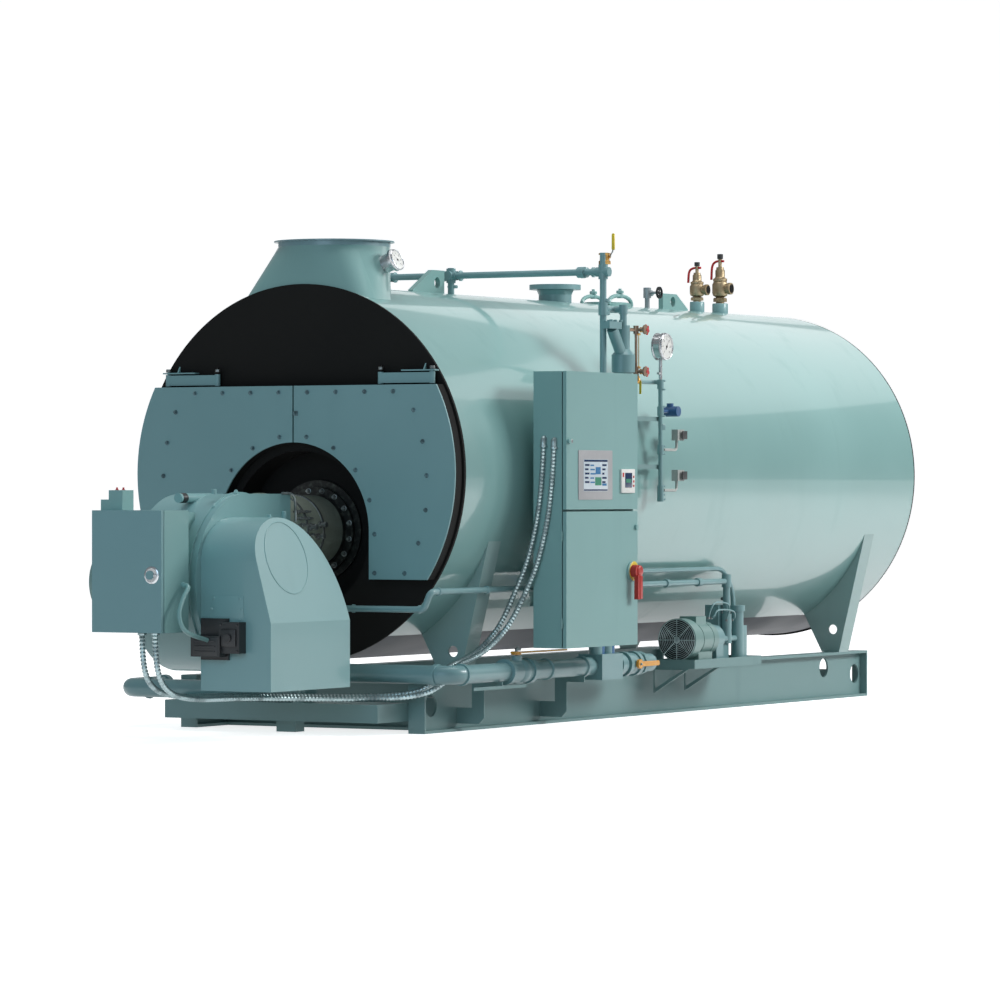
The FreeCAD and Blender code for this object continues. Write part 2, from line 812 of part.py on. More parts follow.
def steam_nozzle():
    """A flanged steam outlet with its bolt holes."""
    low = 2600
    neck_top = steam_top - steam_flange_thickness
    pipe_part = rod(steam_pipe_radius, (steam_x, 0, low), (steam_x, 0, neck_top))
    hub = cone(steam_pipe_radius, steam_pipe_radius + 12, (steam_x, 0, neck_top - 30), (steam_x, 0, neck_top))
    flange = rod(steam_flange_radius, (steam_x, 0, neck_top), (steam_x, 0, steam_top))
    nozzle = fuse([pipe_part, hub, flange])
    nozzle = nozzle.cut(rod(steam_bore, (steam_x, 0, low - 1), (steam_x, 0, steam_top + 1)))
    for index in range(steam_bolt_count):
        angle = 2 * math.pi * (index + 0.5) / steam_bolt_count
        x = steam_x + steam_bolt_circle / 2 * math.cos(angle)
        y = steam_bolt_circle / 2 * math.sin(angle)
        nozzle = nozzle.cut(rod(steam_bolt_radius, (x, y, neck_top - 1), (x, y, steam_top + 1)))
    return nozzle.cut(around_shell())


def ellipse_plate(x, half_length, half_width, z):
    """An upright elliptical column."""
    curve = Part.Ellipse(V(x, 0, z[0]), half_length, half_width).toShape()
    return Part.Face(Part.Wire(curve)).extrude(V(0, 0, z[1] - z[0]))


def manway():
    """An oval manhole ring with its cover inside and two yokes across it."""
    low = 2600
    rim = ellipse_plate(manway_x, manway_half_length, manway_half_width, (low, manway_top))
    cover_z = manway_top - 22
    mouth = ellipse_plate(manway_x, manway_half_length - manway_rim, manway_half_width - manway_rim,
                          (cover_z, manway_top + 1))
    pieces = [rim.cut(mouth)]
    half = yoke_length / 2
    for y in (-yoke_spacing, yoke_spacing):
        side = (y - yoke_width / 2, y + yoke_width / 2)
        bridge = [(manway_x - half, manway_top - 30), (manway_x - half, manway_top + 6),
                  (manway_x - half / 3, yoke_top), (manway_x + half / 3, yoke_top),
                  (manway_x + half, manway_top + 6), (manway_x + half, manway_top - 30),
                  (manway_x + half - 40, manway_top - 30), (manway_x + half / 3, manway_top + 4),
                  (manway_x - half / 3, manway_top + 4), (manway_x - half + 40, manway_top - 30)]
        pieces.append(plate_xz(bridge, side))
        pieces.append(rod(13, (manway_x, y, cover_z - 20), (manway_x, y, yoke_top + 37)))
        pieces.append(rod(22, (manway_x, y, yoke_top), (manway_x, y, yoke_top + 22)))
    return fuse(pieces).cut(around_shell())


def vent_valve():
    """An angle valve on a nipple, with a small handwheel on its stem."""
    x = vent_x
    nipple = rod(17, (x, 0, 2600), (x, 0, 2785))
    body = rod(27, (x, 0, 2780), (x, 0, 2852))
    side = rod(21, (x, 0, 2816), (x + 62, 0, 2816))
    stem = rod(9, (x, 0, 2816), (x, -92, 2816))
    wheel = tube(41, 30, (x, -100, 2816), (x, -88, 2816))
    spokes = [box((x - 33, x + 33), (-97, -90), (2812, 2820)), box((x - 4, x + 4), (-97, -90), (2783, 2849))]
    return fuse([nipple, body, side, stem, wheel] + spokes).cut(around_shell())


def safety_valve(x, coupling, top):
    """A spring safety valve with a side outlet, screwed into a coupling on the shell."""
    scale = coupling / coupling_large
    neck = coupling_top + 45 * scale
    base = coupling_top + 60 * scale
    body_top = top - 130 * scale
    parts = [
        rod(coupling, (x, 0, 2600), (x, 0, coupling_top)),
        rod(34 * scale, (x, 0, coupling_top), (x, 0, base)),
        rod(44 * scale, (x, 0, neck), (x, 0, neck + 24)),
        rod(50 * scale, (x, 0, base), (x, 0, base + 95 * scale)),
        rod(40 * scale, (x, 0, base + 50 * scale), (x, -95 * scale, base + 50 * scale)),
        rod(47 * scale, (x, -75 * scale, base + 50 * scale), (x, -95 * scale, base + 50 * scale)),
        rod(36 * scale, (x, 0, base), (x, 0, body_top)),
        rod(26 * scale, (x, 0, body_top), (x, 0, top - 30)),
        rod(30 * scale, (x, 0, top - 34), (x, 0, top)),
        box((x - 6, x + 6), (0, 58 * scale), (top - 62 * scale, top - 50 * scale)),
        box((x - 6, x + 6), (48 * scale, 58 * scale), (top - 175 * scale, top - 50 * scale)),
    ]
    return fuse(parts).cut(around_shell())


def top_fittings():
    """Everything that stands on the crown of the shell."""
    save("lifting_lugs", Part.makeCompound([lifting_lug(lug_front), lifting_lug(lug_rear)]))
    save("steam_nozzle", steam_nozzle())
    save("manway", manway())
    save("vent_valve", vent_valve())
    valves = [safety_valve(valve_small_x, coupling_small, valve_small_top),
              safety_valve(valve_large_x, coupling_large, valve_large_top)]
    save("safety_valves", Part.makeCompound(valves))


# Water column and controls ---------------------------------------------------------------------

def column_pipes():
    """The equalising pipe from the crown, down past the column, and back into the shell."""
    x = column_pipe_x
    y = column_pipe_y
    r = column_pipe_radius
    crown = rod(r, (x, 0, 2600), (x, 0, equalising_z + 50)).cut(around_shell())
    over = rod(r, (x, equalising_far_end, equalising_z), (x, y, equalising_z))
    down = rod(r, (x, y, lower_pipe_z - r), (x, y, equalising_z + 60))
    home = rod(r, (x, y, lower_pipe_z), (x, -shell_surface_y(lower_pipe_z) + 30, lower_pipe_z))
    fittings = []
    for middle in ((x, 0, equalising_z), (x, y, equalising_z)):
        cx, cy, cz = middle
        fittings.append(rod(r + 9, (cx, cy - 46, cz), (cx, cy + 46, cz)))
        fittings.append(rod(r + 9, (cx, cy, cz - 46), (cx, cy, cz + 46)))
    fittings.append(rod(r + 9, (x - 46, 0, equalising_z), (x + 46, 0, equalising_z)))
    far = equalising_far_end
    fittings.append(rod(r + 9, (x, far - 30, equalising_z), (x, far, equalising_z)))
    for z in (upper_cross_z, lower_pipe_z):
        fittings.append(rod(r + 9, (x, y, z - 40), (x, y, z + 40)))
    fittings.append(rod(r + 14, (x, y + 130, equalising_z), (x, y + 178, equalising_z)))
    valve = rod(20, (x, y, equalising_z + 50), (x, y, equalising_z + 120))
    tee = rod(r + 5, (x, y, upper_cross_z), (x + 46, y, upper_cross_z))
    return fuse([crown, over, down, home, valve, tee] + fittings).cut(around_shell())


def water_column():
    """The cast water column, with its side arm from the equalising pipe."""
    x = column_x
    y = column_y
    body = rod(column_radius, (x, y, column_bottom), (x, y, column_top))
    foot = cone(bowl_radius - 8, 24, (x, y, column_bottom), (x, y, column_bottom - 25))
    drain = rod(17, (x, y, column_bottom - 25), (x, y, column_bottom - 120))
    neck = rod(22, (x, y, column_top), (x, y, upper_cross_z))
    start = (column_pipe_x + 46 + seat_gap, column_pipe_y, upper_cross_z)
    arm = pipe(20, [start, (x, column_pipe_y, upper_cross_z), (x, y, upper_cross_z)], 30)
    arm = fuse([arm, rod(27, (x, y, upper_cross_z - 30), (x, y, upper_cross_z + 30))])
    bowl = rod(bowl_radius, (x, y, column_bottom), (x, y, column_bottom + bowl_height))
    shoulder = cone(bowl_radius, column_radius, (x, y, column_bottom + bowl_height),
                    (x, y, column_bottom + bowl_height + 36))
    flange_y = (column_pipe_y - 100, column_pipe_y - column_pipe_radius - 9 - seat_gap)
    flange_x = (column_pipe_x - 98, column_pipe_x + 63)
    head = box(flange_x, flange_y, (column_top - 25, column_top + 20))
    branch_x = column_pipe_x + 20
    branch_y = sum(flange_y) / 2
    branch = rod(36, (branch_x - 20, branch_y, column_top - 25),
                 (x - 10, y, column_bottom + bowl_height - 20))
    return fuse([body, foot, drain, neck, arm, bowl, shoulder, head, branch])


def gauge_glass():
    """The tubular water gauge between its two valves."""
    x = glass_x
    y = glass_y
    reach = column_x + column_radius - 3
    parts = [rod(9, (x, y, glass_bottom), (x, y, glass_top))]
    for z in (glass_bottom, glass_top):
        parts.append(rod(17, (x, y, z - 26), (x, y, z + 26)))
        parts.append(rod(11, (reach, column_y - 20, z), (x, y, z)))
        parts.append(rod(10, (x, y, z), (x, y - 70, z)))
        parts.append(rod(30, (x, y - 70, z), (x, y - 60, z)))
    near = rod(column_radius + seat_gap, (column_x, column_y, column_bottom - 60),
               (column_x, column_y, column_top + 60))
    bowl = rod(bowl_radius + seat_gap, (column_x, column_y, column_bottom - 60),
               (column_x, column_y, column_bottom + bowl_height + 1))
    return fuse(parts).cut(near).cut(bowl)


def control_header():
    """The small pipe header beside the column, which carries the pressure controls."""
    x = header_x
    y = header_y
    r = header_radius
    stand = rod(r, (x, y, header_bottom), (x, y, header_top))
    level = column_bottom - 54
    start = (column_x + 17 + seat_gap, column_y, level)
    feed_pipe = pipe(r, [start, (x, column_y, level), (x, y, level)], 20)
    tees = []
    levels = [header_top - 30, transmitter_z, header_bottom + 20]
    levels += [z - control_drop for z in control_z]
    for z in levels:
        tees.append(rod(r + 7, (x, y, z - 30), (x, y, z + 30)))
    return fuse([stand, feed_pipe] + tees)


def pressure_gauge():
    """A dial gauge on a coiled siphon above the header."""
    x = header_x
    y = header_y
    case = rod(gauge_radius, (x, gauge_y, gauge_z), (x, gauge_y + gauge_depth, gauge_z))
    rim = rod(gauge_radius + 7, (x, gauge_y, gauge_z), (x, gauge_y + 12, gauge_z))
    back = gauge_y + gauge_depth
    flange = rod(gauge_radius + 7, (x, back - 6, gauge_z), (x, back, gauge_z))
    stem = rod(11, (x, y, header_top + seat_gap), (x, y, gauge_z - gauge_radius + 4))
    cock = rod(8, (x - 34, y, header_top + 40), (x, y, header_top + 40))
    return fuse([case, rim, flange, stem, cock])


def header_instruments():
    """A pressure transmitter and two pressure controls on the header."""
    x = header_x + header_radius + 7 + seat_gap
    y = header_y
    pieces = []
    for z in control_z:
        near = x + control_reach
        half = control_height / 2
        case = box((near, near + control_width), (y - control_depth, y), (z - half, z + half))
        middle = near + control_width / 2
        stub = pipe(9, [(x, y - 12, z - control_drop), (middle, y - 12, z - control_drop),
                        (middle, y - 12, z - half + 2)], 24)
        pieces.append(fuse([case, stub]))
    z = transmitter_z
    sender = fuse([
        rod(11, (x, y, z), (x + 110, y, z)),
        rod(33, (x + 110, y - 62, z), (x + 110, y + 48, z)),
        rod(22, (x + 110, y, z), (x + 110, y, z + 52)),
    ])
    pieces.append(sender)
    return Part.makeCompound(pieces)


def water_controls():
    """Everything that shows or watches the water level and the pressure."""
    save("column_pipes", column_pipes())
    save("water_column", water_column())
    save("gauge_glass", gauge_glass())
    save("pressure_gauge", pressure_gauge())
    save("control_header", control_header())
    save("header_instruments", header_instruments())


# Control cabinet -------------------------------------------------------------------------------

def cabinet_body():
    """The shallow wall cabinet, open at the front behind its two doors."""
    x = (cabinet_left, cabinet_right)
    z = (cabinet_bottom, cabinet_top)
    front = cabinet_front + cabinet_door_depth + door_seal
    w = cabinet_wall
    body = box(x, (front, cabinet_back), z)
    inner = box((x[0] + w, x[1] - w), (front - 1, cabinet_back - w), (z[0] + w, z[1] - w))
    body = body.cut(inner)
    shelf = box((x[0] + w, x[1] - w), (front, cabinet_back - w), (cabinet_seam - 2, cabinet_seam + 2))
    fixed = cabinet_hinges(hinge_fixed, upper_door_z(), True)
    fixed += cabinet_hinges(hinge_fixed, lower_door_z(), False)
    return fuse([body, shelf] + fixed)


def upper_door_z():
    """Lowest and highest edge of the upper cabinet door."""
    return cabinet_seam + cabinet_seam_half, cabinet_top


def lower_door_z():
    """Lowest and highest edge of the lower cabinet door."""
    return cabinet_bottom, cabinet_seam - cabinet_seam_half


def cabinet_hinges(make, z, right):
    """Hinge halves for a cabinet door, on the right or the left edge of the cabinet."""
    pivot_y = cabinet_front + cabinet_door_depth + door_seal / 2
    halves = []
    for level in hinge_levels(*z):
        half = make(level)
        if right:
            halves.append(turned(half, 0, (cabinet_right + hinge_offset, pivot_y)))
        else:
            halves.append(turned(flipped(half), 0, (cabinet_left - hinge_offset, pivot_y)))
    return halves


def cabinet_door(z, right):
    """One folded cabinet door with its hinge knuckles."""
    y = (cabinet_front, cabinet_front + cabinet_door_depth)
    skin = pan((cabinet_left, cabinet_right), y, z, cabinet_wall, "y")
    return fuse([skin] + cabinet_hinges(hinge_moving, z, right))


def side_brackets():
    """The angle brackets that carry the cabinet and the header off the shell."""
    pieces = []
    for x, z in bracket_places:
        bar = box((x, x + 50), (cabinet_back, -600), (z - 25, z + 25)).cut(around_shell())
        pieces.append(min(bar.Solids, key=lambda solid: solid.CenterOfMass.y))
    for z in (1911, 1607):
        y = header_y + header_radius + seat_gap
        pieces.append(box((cabinet_right, header_x + 30), (y, y + 6), (z - 14, z + 14)))
    return Part.makeCompound(pieces)


def cabinet():
    """The control cabinet, its two doors and its main switch."""
    save("cabinet_body", cabinet_body())
    upper = cabinet_door(upper_door_z(), True)
    lower = cabinet_door(lower_door_z(), False)
    latch_x = cabinet_left + 26
    latch_out = cabinet_front - 14
    latch = rod(16, (latch_x, latch_out, 1756), (latch_x, cabinet_front, 1756))
    low_x = cabinet_right - 26
    latch_low = rod(16, (low_x, latch_out, 1230), (low_x, cabinet_front, 1230))
    save("cabinet_upper_door", fuse([upper, latch]))
    disc_y = (cabinet_front - 8, cabinet_front)
    boss = rod(switch_radius, (switch_x, disc_y[0], switch_z), (switch_x, disc_y[1], switch_z))
    pin = rod(11, (switch_x, cabinet_front - 50, switch_z), (switch_x, disc_y[0], switch_z))
    save("cabinet_lower_door", fuse([lower, latch_low, boss, pin]))
    hub = tube(38, 11 + pin_clearance, (switch_x, cabinet_front - 50, switch_z),
               (switch_x, disc_y[0] - 0.5, switch_z))
    grip = box((switch_x - 19, switch_x + 19), (cabinet_front - 58, cabinet_front - 30),
               (switch_z - switch_handle_length, switch_z - 24))
    save("disconnect_handle", fuse([hub, grip]))
    save("side_brackets", side_brackets())


# Conduits --------------------------------------------------------------------------------------

# Centre lines of the two hoses, below the elbows on the cabinet's side: down beside the cabinet,
# over the fuel pipe, under the burner and up into the bottom of its box.
inner_hose = [
    (684, -1277, 1775), (690, -1262, 1400), (680, -1183, 1034), (660, -1113, 851), (595, -1040, 628),
    (439, -990, 492), (275, -960, 430), (130, -952, 405), (40, -932, 320), (-60, -850, 245),
    (-260, -620, 225), (-500, -220, 232), (-900, -15, 246), (-1330, 5, 250), (-1600, 10, 300),
    (-1720, 4, 440), (-1720, 4, box_bottom - seat_gap),
]
outer_hose = [
    (684, -1347, 1765), (690, -1332, 1400), (685, -1254, 1034), (668, -1184, 851), (602, -1105, 640),
    (445, -1058, 510), (285, -1012, 436), (146, -1000, 405), (62, -982, 318), (-80, -905, 232),
    (-300, -690, 215), (-540, -300, 222), (-930, -95, 234), (-1340, -80, 238), (-1600, -82, 290),
    (-1720, -86, 440), (-1720, -86, box_bottom - seat_gap),
]


def conduit_fitting(y, z):
    """The elbow fitting that a hose leaves the cabinet by."""
    wall = cabinet_left - seat_gap
    return fuse([
        rod(conduit_elbow, (conduit_elbow_x, y, z), (wall, y, z)),
        rod(conduit_elbow, (conduit_elbow_x, y, z - 50), (conduit_elbow_x, y, z + conduit_elbow)),
        rod(conduit_elbow + 5, (wall - 10, y, z), (wall, y, z)),
    ])


def tangent_pipe(radius, points):
    """A hose through corners, with each bend as large as its two runs allow."""
    points = [V(*point) for point in points]
    edges = []
    start = points[0]
    for before, corner, after in zip(points, points[1:], points[2:]):
        back = before - corner
        ahead = after - corner
        setback = 0.45 * min(back.Length, ahead.Length)
        back.normalize()
        ahead.normalize()
        half = math.acos(max(-1.0, min(1.0, back.dot(ahead)))) / 2
        bend = setback * math.tan(half)
        first = corner + back * setback
        last = corner + ahead * setback
        middle = corner + (back + ahead).normalize() * (bend / math.sin(half) - bend)
        print("  hose bend radius", round(bend))
        edges.append(Part.makeLine(start, first))
        edges.append(Part.Arc(first, middle, last).toShape())
        start = last
    edges.append(Part.makeLine(start, points[-1]))
    section = Part.Wire(Part.makeCircle(radius, points[0], points[1] - points[0]))
    return Part.Wire(edges).makePipeShell([section], True, True)


def conduits():
    """The two hoses with the elbows that they leave the cabinet by."""
    pieces = []
    for route, (y, z) in zip((inner_hose, outer_hose), conduit_exits):
        hose = tangent_pipe(conduit_radius, route)
        pieces.append(fuse([hose, conduit_fitting(y, z)]))
    save("cable_conduits", Part.makeCompound(pieces))


# Fuel train ------------------------------------------------------------------------------------

def gas_pipe():
    """The main fuel pipe: along the skid, round the front, across and up into the burner."""
    y = gas_y
    z = gas_z
    start = gas_valve_x - gas_valve_half - seat_gap
    run = pipe(gas_radius, [(start, y, z), (gas_front_x, y, z), (gas_front_x, 0, z),
                            (gas_front_x, 0, burner_height)], gas_elbow)
    after = gas_front_x + gas_elbow
    beside = y + gas_elbow
    rings = [
        rod(gas_radius + 9, (after, y, z), (after + gas_collar, y, z)),
        rod(gas_radius + 9, (gas_front_x, beside, z), (gas_front_x, beside + gas_collar, z)),
    ]
    head = rod(head_radius + seat_gap, (volute_back - 50, 0, burner_height), (300, 0, burner_height))
    riser_and_run = fuse([run] + rings).cut(head)
    return max(riser_and_run.Solids, key=lambda solid: solid.Volume)


def gas_cross_pipe():
    """The capped pipe that lies across the platform and turns back along the far side."""
    z = platform_top + gas_radius + seat_gap
    low, high = cross_pipe_y
    x = gas_front_x - 60
    run = pipe(gas_radius, [(x, low, z), (x, high, z), (cross_pipe_end, high, z)], gas_elbow)
    collars = [
        rod(gas_radius + 8, (x, low, z + 9), (x, low + 40, z + 9)),
        rod(gas_radius + 8, (cross_pipe_end - 40, high, z), (cross_pipe_end, high, z)),
    ]
    return fuse([run] + collars)


def ball_valve(x, half):
    """A threaded ball valve with round body and hexagon ends."""
    y, z = gas_y, gas_z
    return [
        rod(gas_radius + 12, (x - half, y, z), (x + half, y, z)),
        rod(gas_radius + 22, (x - half, y, z), (x - half + 40, y, z)),
        rod(gas_radius + 22, (x + half - 40, y, z), (x + half, y, z)),
    ]


def first_valve():
    """The large ball valve, its stem upright."""
    x, y = gas_valve_x, gas_y
    stem = [
        rod(34, (x, y, gas_z), (x, y, lever_z - 14)),
        rod(9, (x, y, gas_z), (x, y, lever_z + 20)),
        Part.makeSphere(gas_radius + 22, V(x + 30, y, gas_z)),
    ]
    return fuse(ball_valve(gas_valve_x, gas_valve_half) + stem)


def second_valve():
    """The smaller ball valve, its stem pointing out from the boiler."""
    x, z = gas_second_x, gas_z
    return fuse(ball_valve(x, gas_second_half) + [
        rod(24, (x, gas_y, z), (x, second_lever_y + 14, z)),
        rod(7, (x, gas_y, z), (x, second_lever_y - 18, z)),
    ])


def first_lever():
    """A flat lever that turns on an upright stem."""
    x, y = gas_valve_x, gas_y
    blade = box((x - 40, x + lever_length), (y - 19, y + 19), (lever_z, lever_z + 10))
    end = rod(19, (x + lever_length, y, lever_z), (x + lever_length, y, lever_z + 10))
    hub = rod(32, (x, y, lever_z - 8), (x, y, lever_z + 12))
    hole = rod(9 + pin_clearance, (x, y, lever_z - 20), (x, y, lever_z + 40))
    return fuse([blade, end, hub]).cut(hole)


def second_lever():
    """The lever of the smaller valve, standing off its side."""
    x, y, z = gas_second_x, second_lever_y, gas_z
    blade = box((x, x + second_lever_length), (y - 8, y), (z - 16, z + 16))
    end = rod(16, (x + second_lever_length, y - 8, z), (x + second_lever_length, y, z))
    hub = rod(30, (x, y - 10, z), (x, y + 8, z))
    hole = rod(7 + pin_clearance, (x, y - 30, z), (x, y + 30, z))
    return fuse([blade, end, hub]).cut(hole)


def gas_bracket(x):
    """A plate hook from the rail's web, out and up to the fuel pipe."""
    web = -(rail_offset + rail_web / 2)
    outer = web - 190
    post = outer + 85
    seat = gas_z - gas_radius - seat_gap
    return plate_yz([(web, 44), (web, 141), (post, 141), (post, seat), (gas_y - 40, seat),
                     (gas_y - 40, seat - 37), (outer, seat - 37), (outer, 80), (outer + 36, 44)], (x, x + 8))


def gas_train():
    """Everything along the main fuel pipe."""
    y, z = gas_y, gas_z
    save("gas_pipe", gas_pipe())
    save("gas_cross_pipe", gas_cross_pipe())
    save("gas_valves", Part.makeCompound([first_valve(), second_valve()]))
    save("gas_lever", first_lever())
    save("gas_second_lever", second_lever())
    low, high = shutoff_x
    middle = rod(gas_radius, (gas_valve_x + gas_valve_half + seat_gap, y, z), (low, y, z))
    body = box((low, high), (y - 85, y + 85), (z - 85, z + 75))
    actuators = [rod(44, (x, y, z + 60), (x, y, z + 135)) for x in (low + 70, high - 70)]
    link = rod(gas_radius, (high, y, z), (gas_second_x - gas_second_half - seat_gap, y, z))
    union = rod(gas_radius + 20, (high + 30, y, z), (high + 80, y, z))
    tail = rod(gas_radius, (gas_second_x + gas_second_half + seat_gap, y, z), (gas_end_x, y, z))
    train = fuse([middle, body, link, union] + actuators)
    save("gas_shutoff_valve", train)
    save("gas_inlet", tail)
    seat = z - gas_radius - seat_gap
    pieces = [gas_bracket(x) for x in gas_bracket_x]
    rest_top = gas_z - gas_radius - 22 - seat_gap
    rest = box(gas_rest, (y - 40, y - 34), (rest_top - 20, rest_top))
    pieces[0] = fuse([pieces[0], rest])
    save("gas_brackets", Part.makeCompound(pieces))


# Air line and pump module ----------------------------------------------------------------------

def air_line():
    """The small line from the pump to the burner."""
    r = air_radius
    points = [(air_rear_x, air_y, air_z), (air_front_x, air_y, air_z), (air_front_x, air_low_y, air_cross_z),
              (air_front_x, air_end_y, air_cross_z), (air_front_x, air_end_y, burner_height)]
    line = pipe(r, points, 36)
    head = rod(head_radius + seat_gap, (volute_back - 50, 0, burner_height), (300, 0, burner_height))
    line = max(line.cut(head).Solids, key=lambda solid: solid.Volume)
    unions = [rod(r + 8, (x, air_y, air_z), (x + 40, air_y, air_z)) for x in (2740, 3180)]
    return fuse([line] + unions)


def pump_module():
    """The tray on the skid with its motor, pump, separator and filter."""
    tray = box((tray_front, tray_rear), tray_y, tray_z)
    tray = tray.cut(box((tray_front + 5, tray_rear - 5), (tray_y[0] + 5, tray_y[1] - 5),
                        (tray_z[0] + 5, tray_z[1] + 1)))
    outer = -(rail_offset + flange_width / 2)
    pads = []
    foot = tray_bracket_foot
    for x in tray_brackets:
        pads.append(box((x, x + 40), (outer - 8, outer), (foot, tray_z[0])))
        pads.append(box((x, x + 40), (tray_y[0] + 50, outer), (tray_z[0] - 8, tray_z[0])))
        pads.append(plate_yz([(outer, foot), (outer, foot + 26), (tray_y[0] + 80, tray_z[0]),
                              (tray_y[0] + 50, tray_z[0])], (x + 12, x + 28)))
    pads.append(box((tray_front, tray_rear), (tray_y[1], outer), (tray_z[0], tray_z[0] + 8)))
    save("pump_tray", fuse([tray] + pads))
    x, y, z = pump_motor_x, pump_motor_y, pump_motor_z
    deck = tray_z[0] + 5 + seat_gap
    motor = fuse([
        rod(fan_guard_radius, (x, y, z), (x + 95, y, z)),
        rod(pump_motor_radius, (x + 95, y, z), (x + pump_motor_length, y, z)),
        box((x + 130, x + 320), (y - 90, y + 90), (deck, z - 80)),
        box((x + 150, x + 290), (y - 60, y + 60), (z + 80, z + 150)),
    ])
    save("pump_motor", motor)
    start = x + pump_motor_length + seat_gap
    tall_x = pump_pipe_x
    line_y = air_y
    unit = fuse([
        rod(88, (start, y, z), (start + 130, y, z)),
        rod(60, (start + 130, y, z), (start + 175, y, z)),
        box((start + 20, start + 120), (y - 80, y + 80), (deck, z)),
        rod(24, (start + 100, line_y, z - 10), (tall_x, line_y, z - 10)),
        box((tall_x - 60, tall_x + 90), (line_y + 30, y + 130), (deck, 700)),
        rod(34, (tall_x, line_y, z - 40), (tall_x, line_y, 640)),
        rod(24, (tall_x, line_y, 640), (tall_x, line_y, 900)),
        rod(pump_pipe_collar, (tall_x, line_y, air_z - 40), (tall_x, line_y, air_z + 46)),
        rod(20, (tall_x, line_y, z - 10), (filter_x, line_y, z - 10)),
        rod(filter_radius, (filter_x, line_y, deck), (filter_x, line_y, filter_top - 39)),
        rod(filter_radius + 10, (filter_x, line_y, filter_top - 39), (filter_x, line_y, filter_top)),
        box((filter_x + 30, filter_x + 80), (y - 30, y + 40), (deck, 560)),
    ])
    over_y = line_y + 30
    bend = oil_line_z - filter_top
    over = pipe(15, [(filter_x, over_y, filter_top - filter_neck), (filter_x, over_y, oil_line_z),
                     (oil_end_x, over_y, oil_line_z)], bend)
    unit = fuse([unit, over])
    save("pump_unit", unit)


os.makedirs("parts", exist_ok=True)
skid()
shell()
doors()
burner()
stack()
top_fittings()
water_controls()
cabinet()
conduits()
gas_train()
save("air_line", air_line())
pump_module()
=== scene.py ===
# %% [markdown]
# This lesson dresses a packaged steam boiler. Its solid parts are already made: they come from the CAD
# model at their true size and place. Here they get their finishes, and the small things that CAD leaves
# out, such as nuts, dials, handwheels and hoses. Every length is in metres.

# %% Load the boiler
import math

import bmesh
import bpy
from mathutils import Matrix, Vector


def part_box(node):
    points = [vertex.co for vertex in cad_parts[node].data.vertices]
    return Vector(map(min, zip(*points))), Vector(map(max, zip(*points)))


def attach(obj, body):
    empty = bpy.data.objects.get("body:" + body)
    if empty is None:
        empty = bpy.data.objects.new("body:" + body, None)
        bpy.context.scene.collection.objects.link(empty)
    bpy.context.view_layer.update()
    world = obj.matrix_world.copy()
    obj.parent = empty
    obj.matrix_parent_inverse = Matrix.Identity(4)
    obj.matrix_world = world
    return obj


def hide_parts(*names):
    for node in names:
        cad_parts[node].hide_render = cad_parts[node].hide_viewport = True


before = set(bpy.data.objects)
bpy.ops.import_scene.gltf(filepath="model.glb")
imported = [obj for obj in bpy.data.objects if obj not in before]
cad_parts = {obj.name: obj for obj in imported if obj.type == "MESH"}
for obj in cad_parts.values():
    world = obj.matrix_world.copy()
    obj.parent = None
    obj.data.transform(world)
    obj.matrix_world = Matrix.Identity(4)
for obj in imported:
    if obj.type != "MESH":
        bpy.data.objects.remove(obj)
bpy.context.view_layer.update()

# %% [markdown]
# Places on a boiler are given the way a fitter gives them: how far back from the front of the shell, how
# far to the side of the centre line, and how high above the floor. The cabinet is on the -Y side.

# %% Places on the boiler
shell_low, shell_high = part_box("jacket")
shell_front = shell_low.x
shell_length = shell_high.x - shell_low.x
shell_radius = (shell_high.y - shell_low.y) / 2


def place(back, side, up):
    """A point, from millimetres behind the shell's front, to the side, and above the floor."""
    return Vector((shell_front + back / 1000, side / 1000, up / 1000))


print("shell", round(shell_length, 3), "long, radius", round(shell_radius, 3))
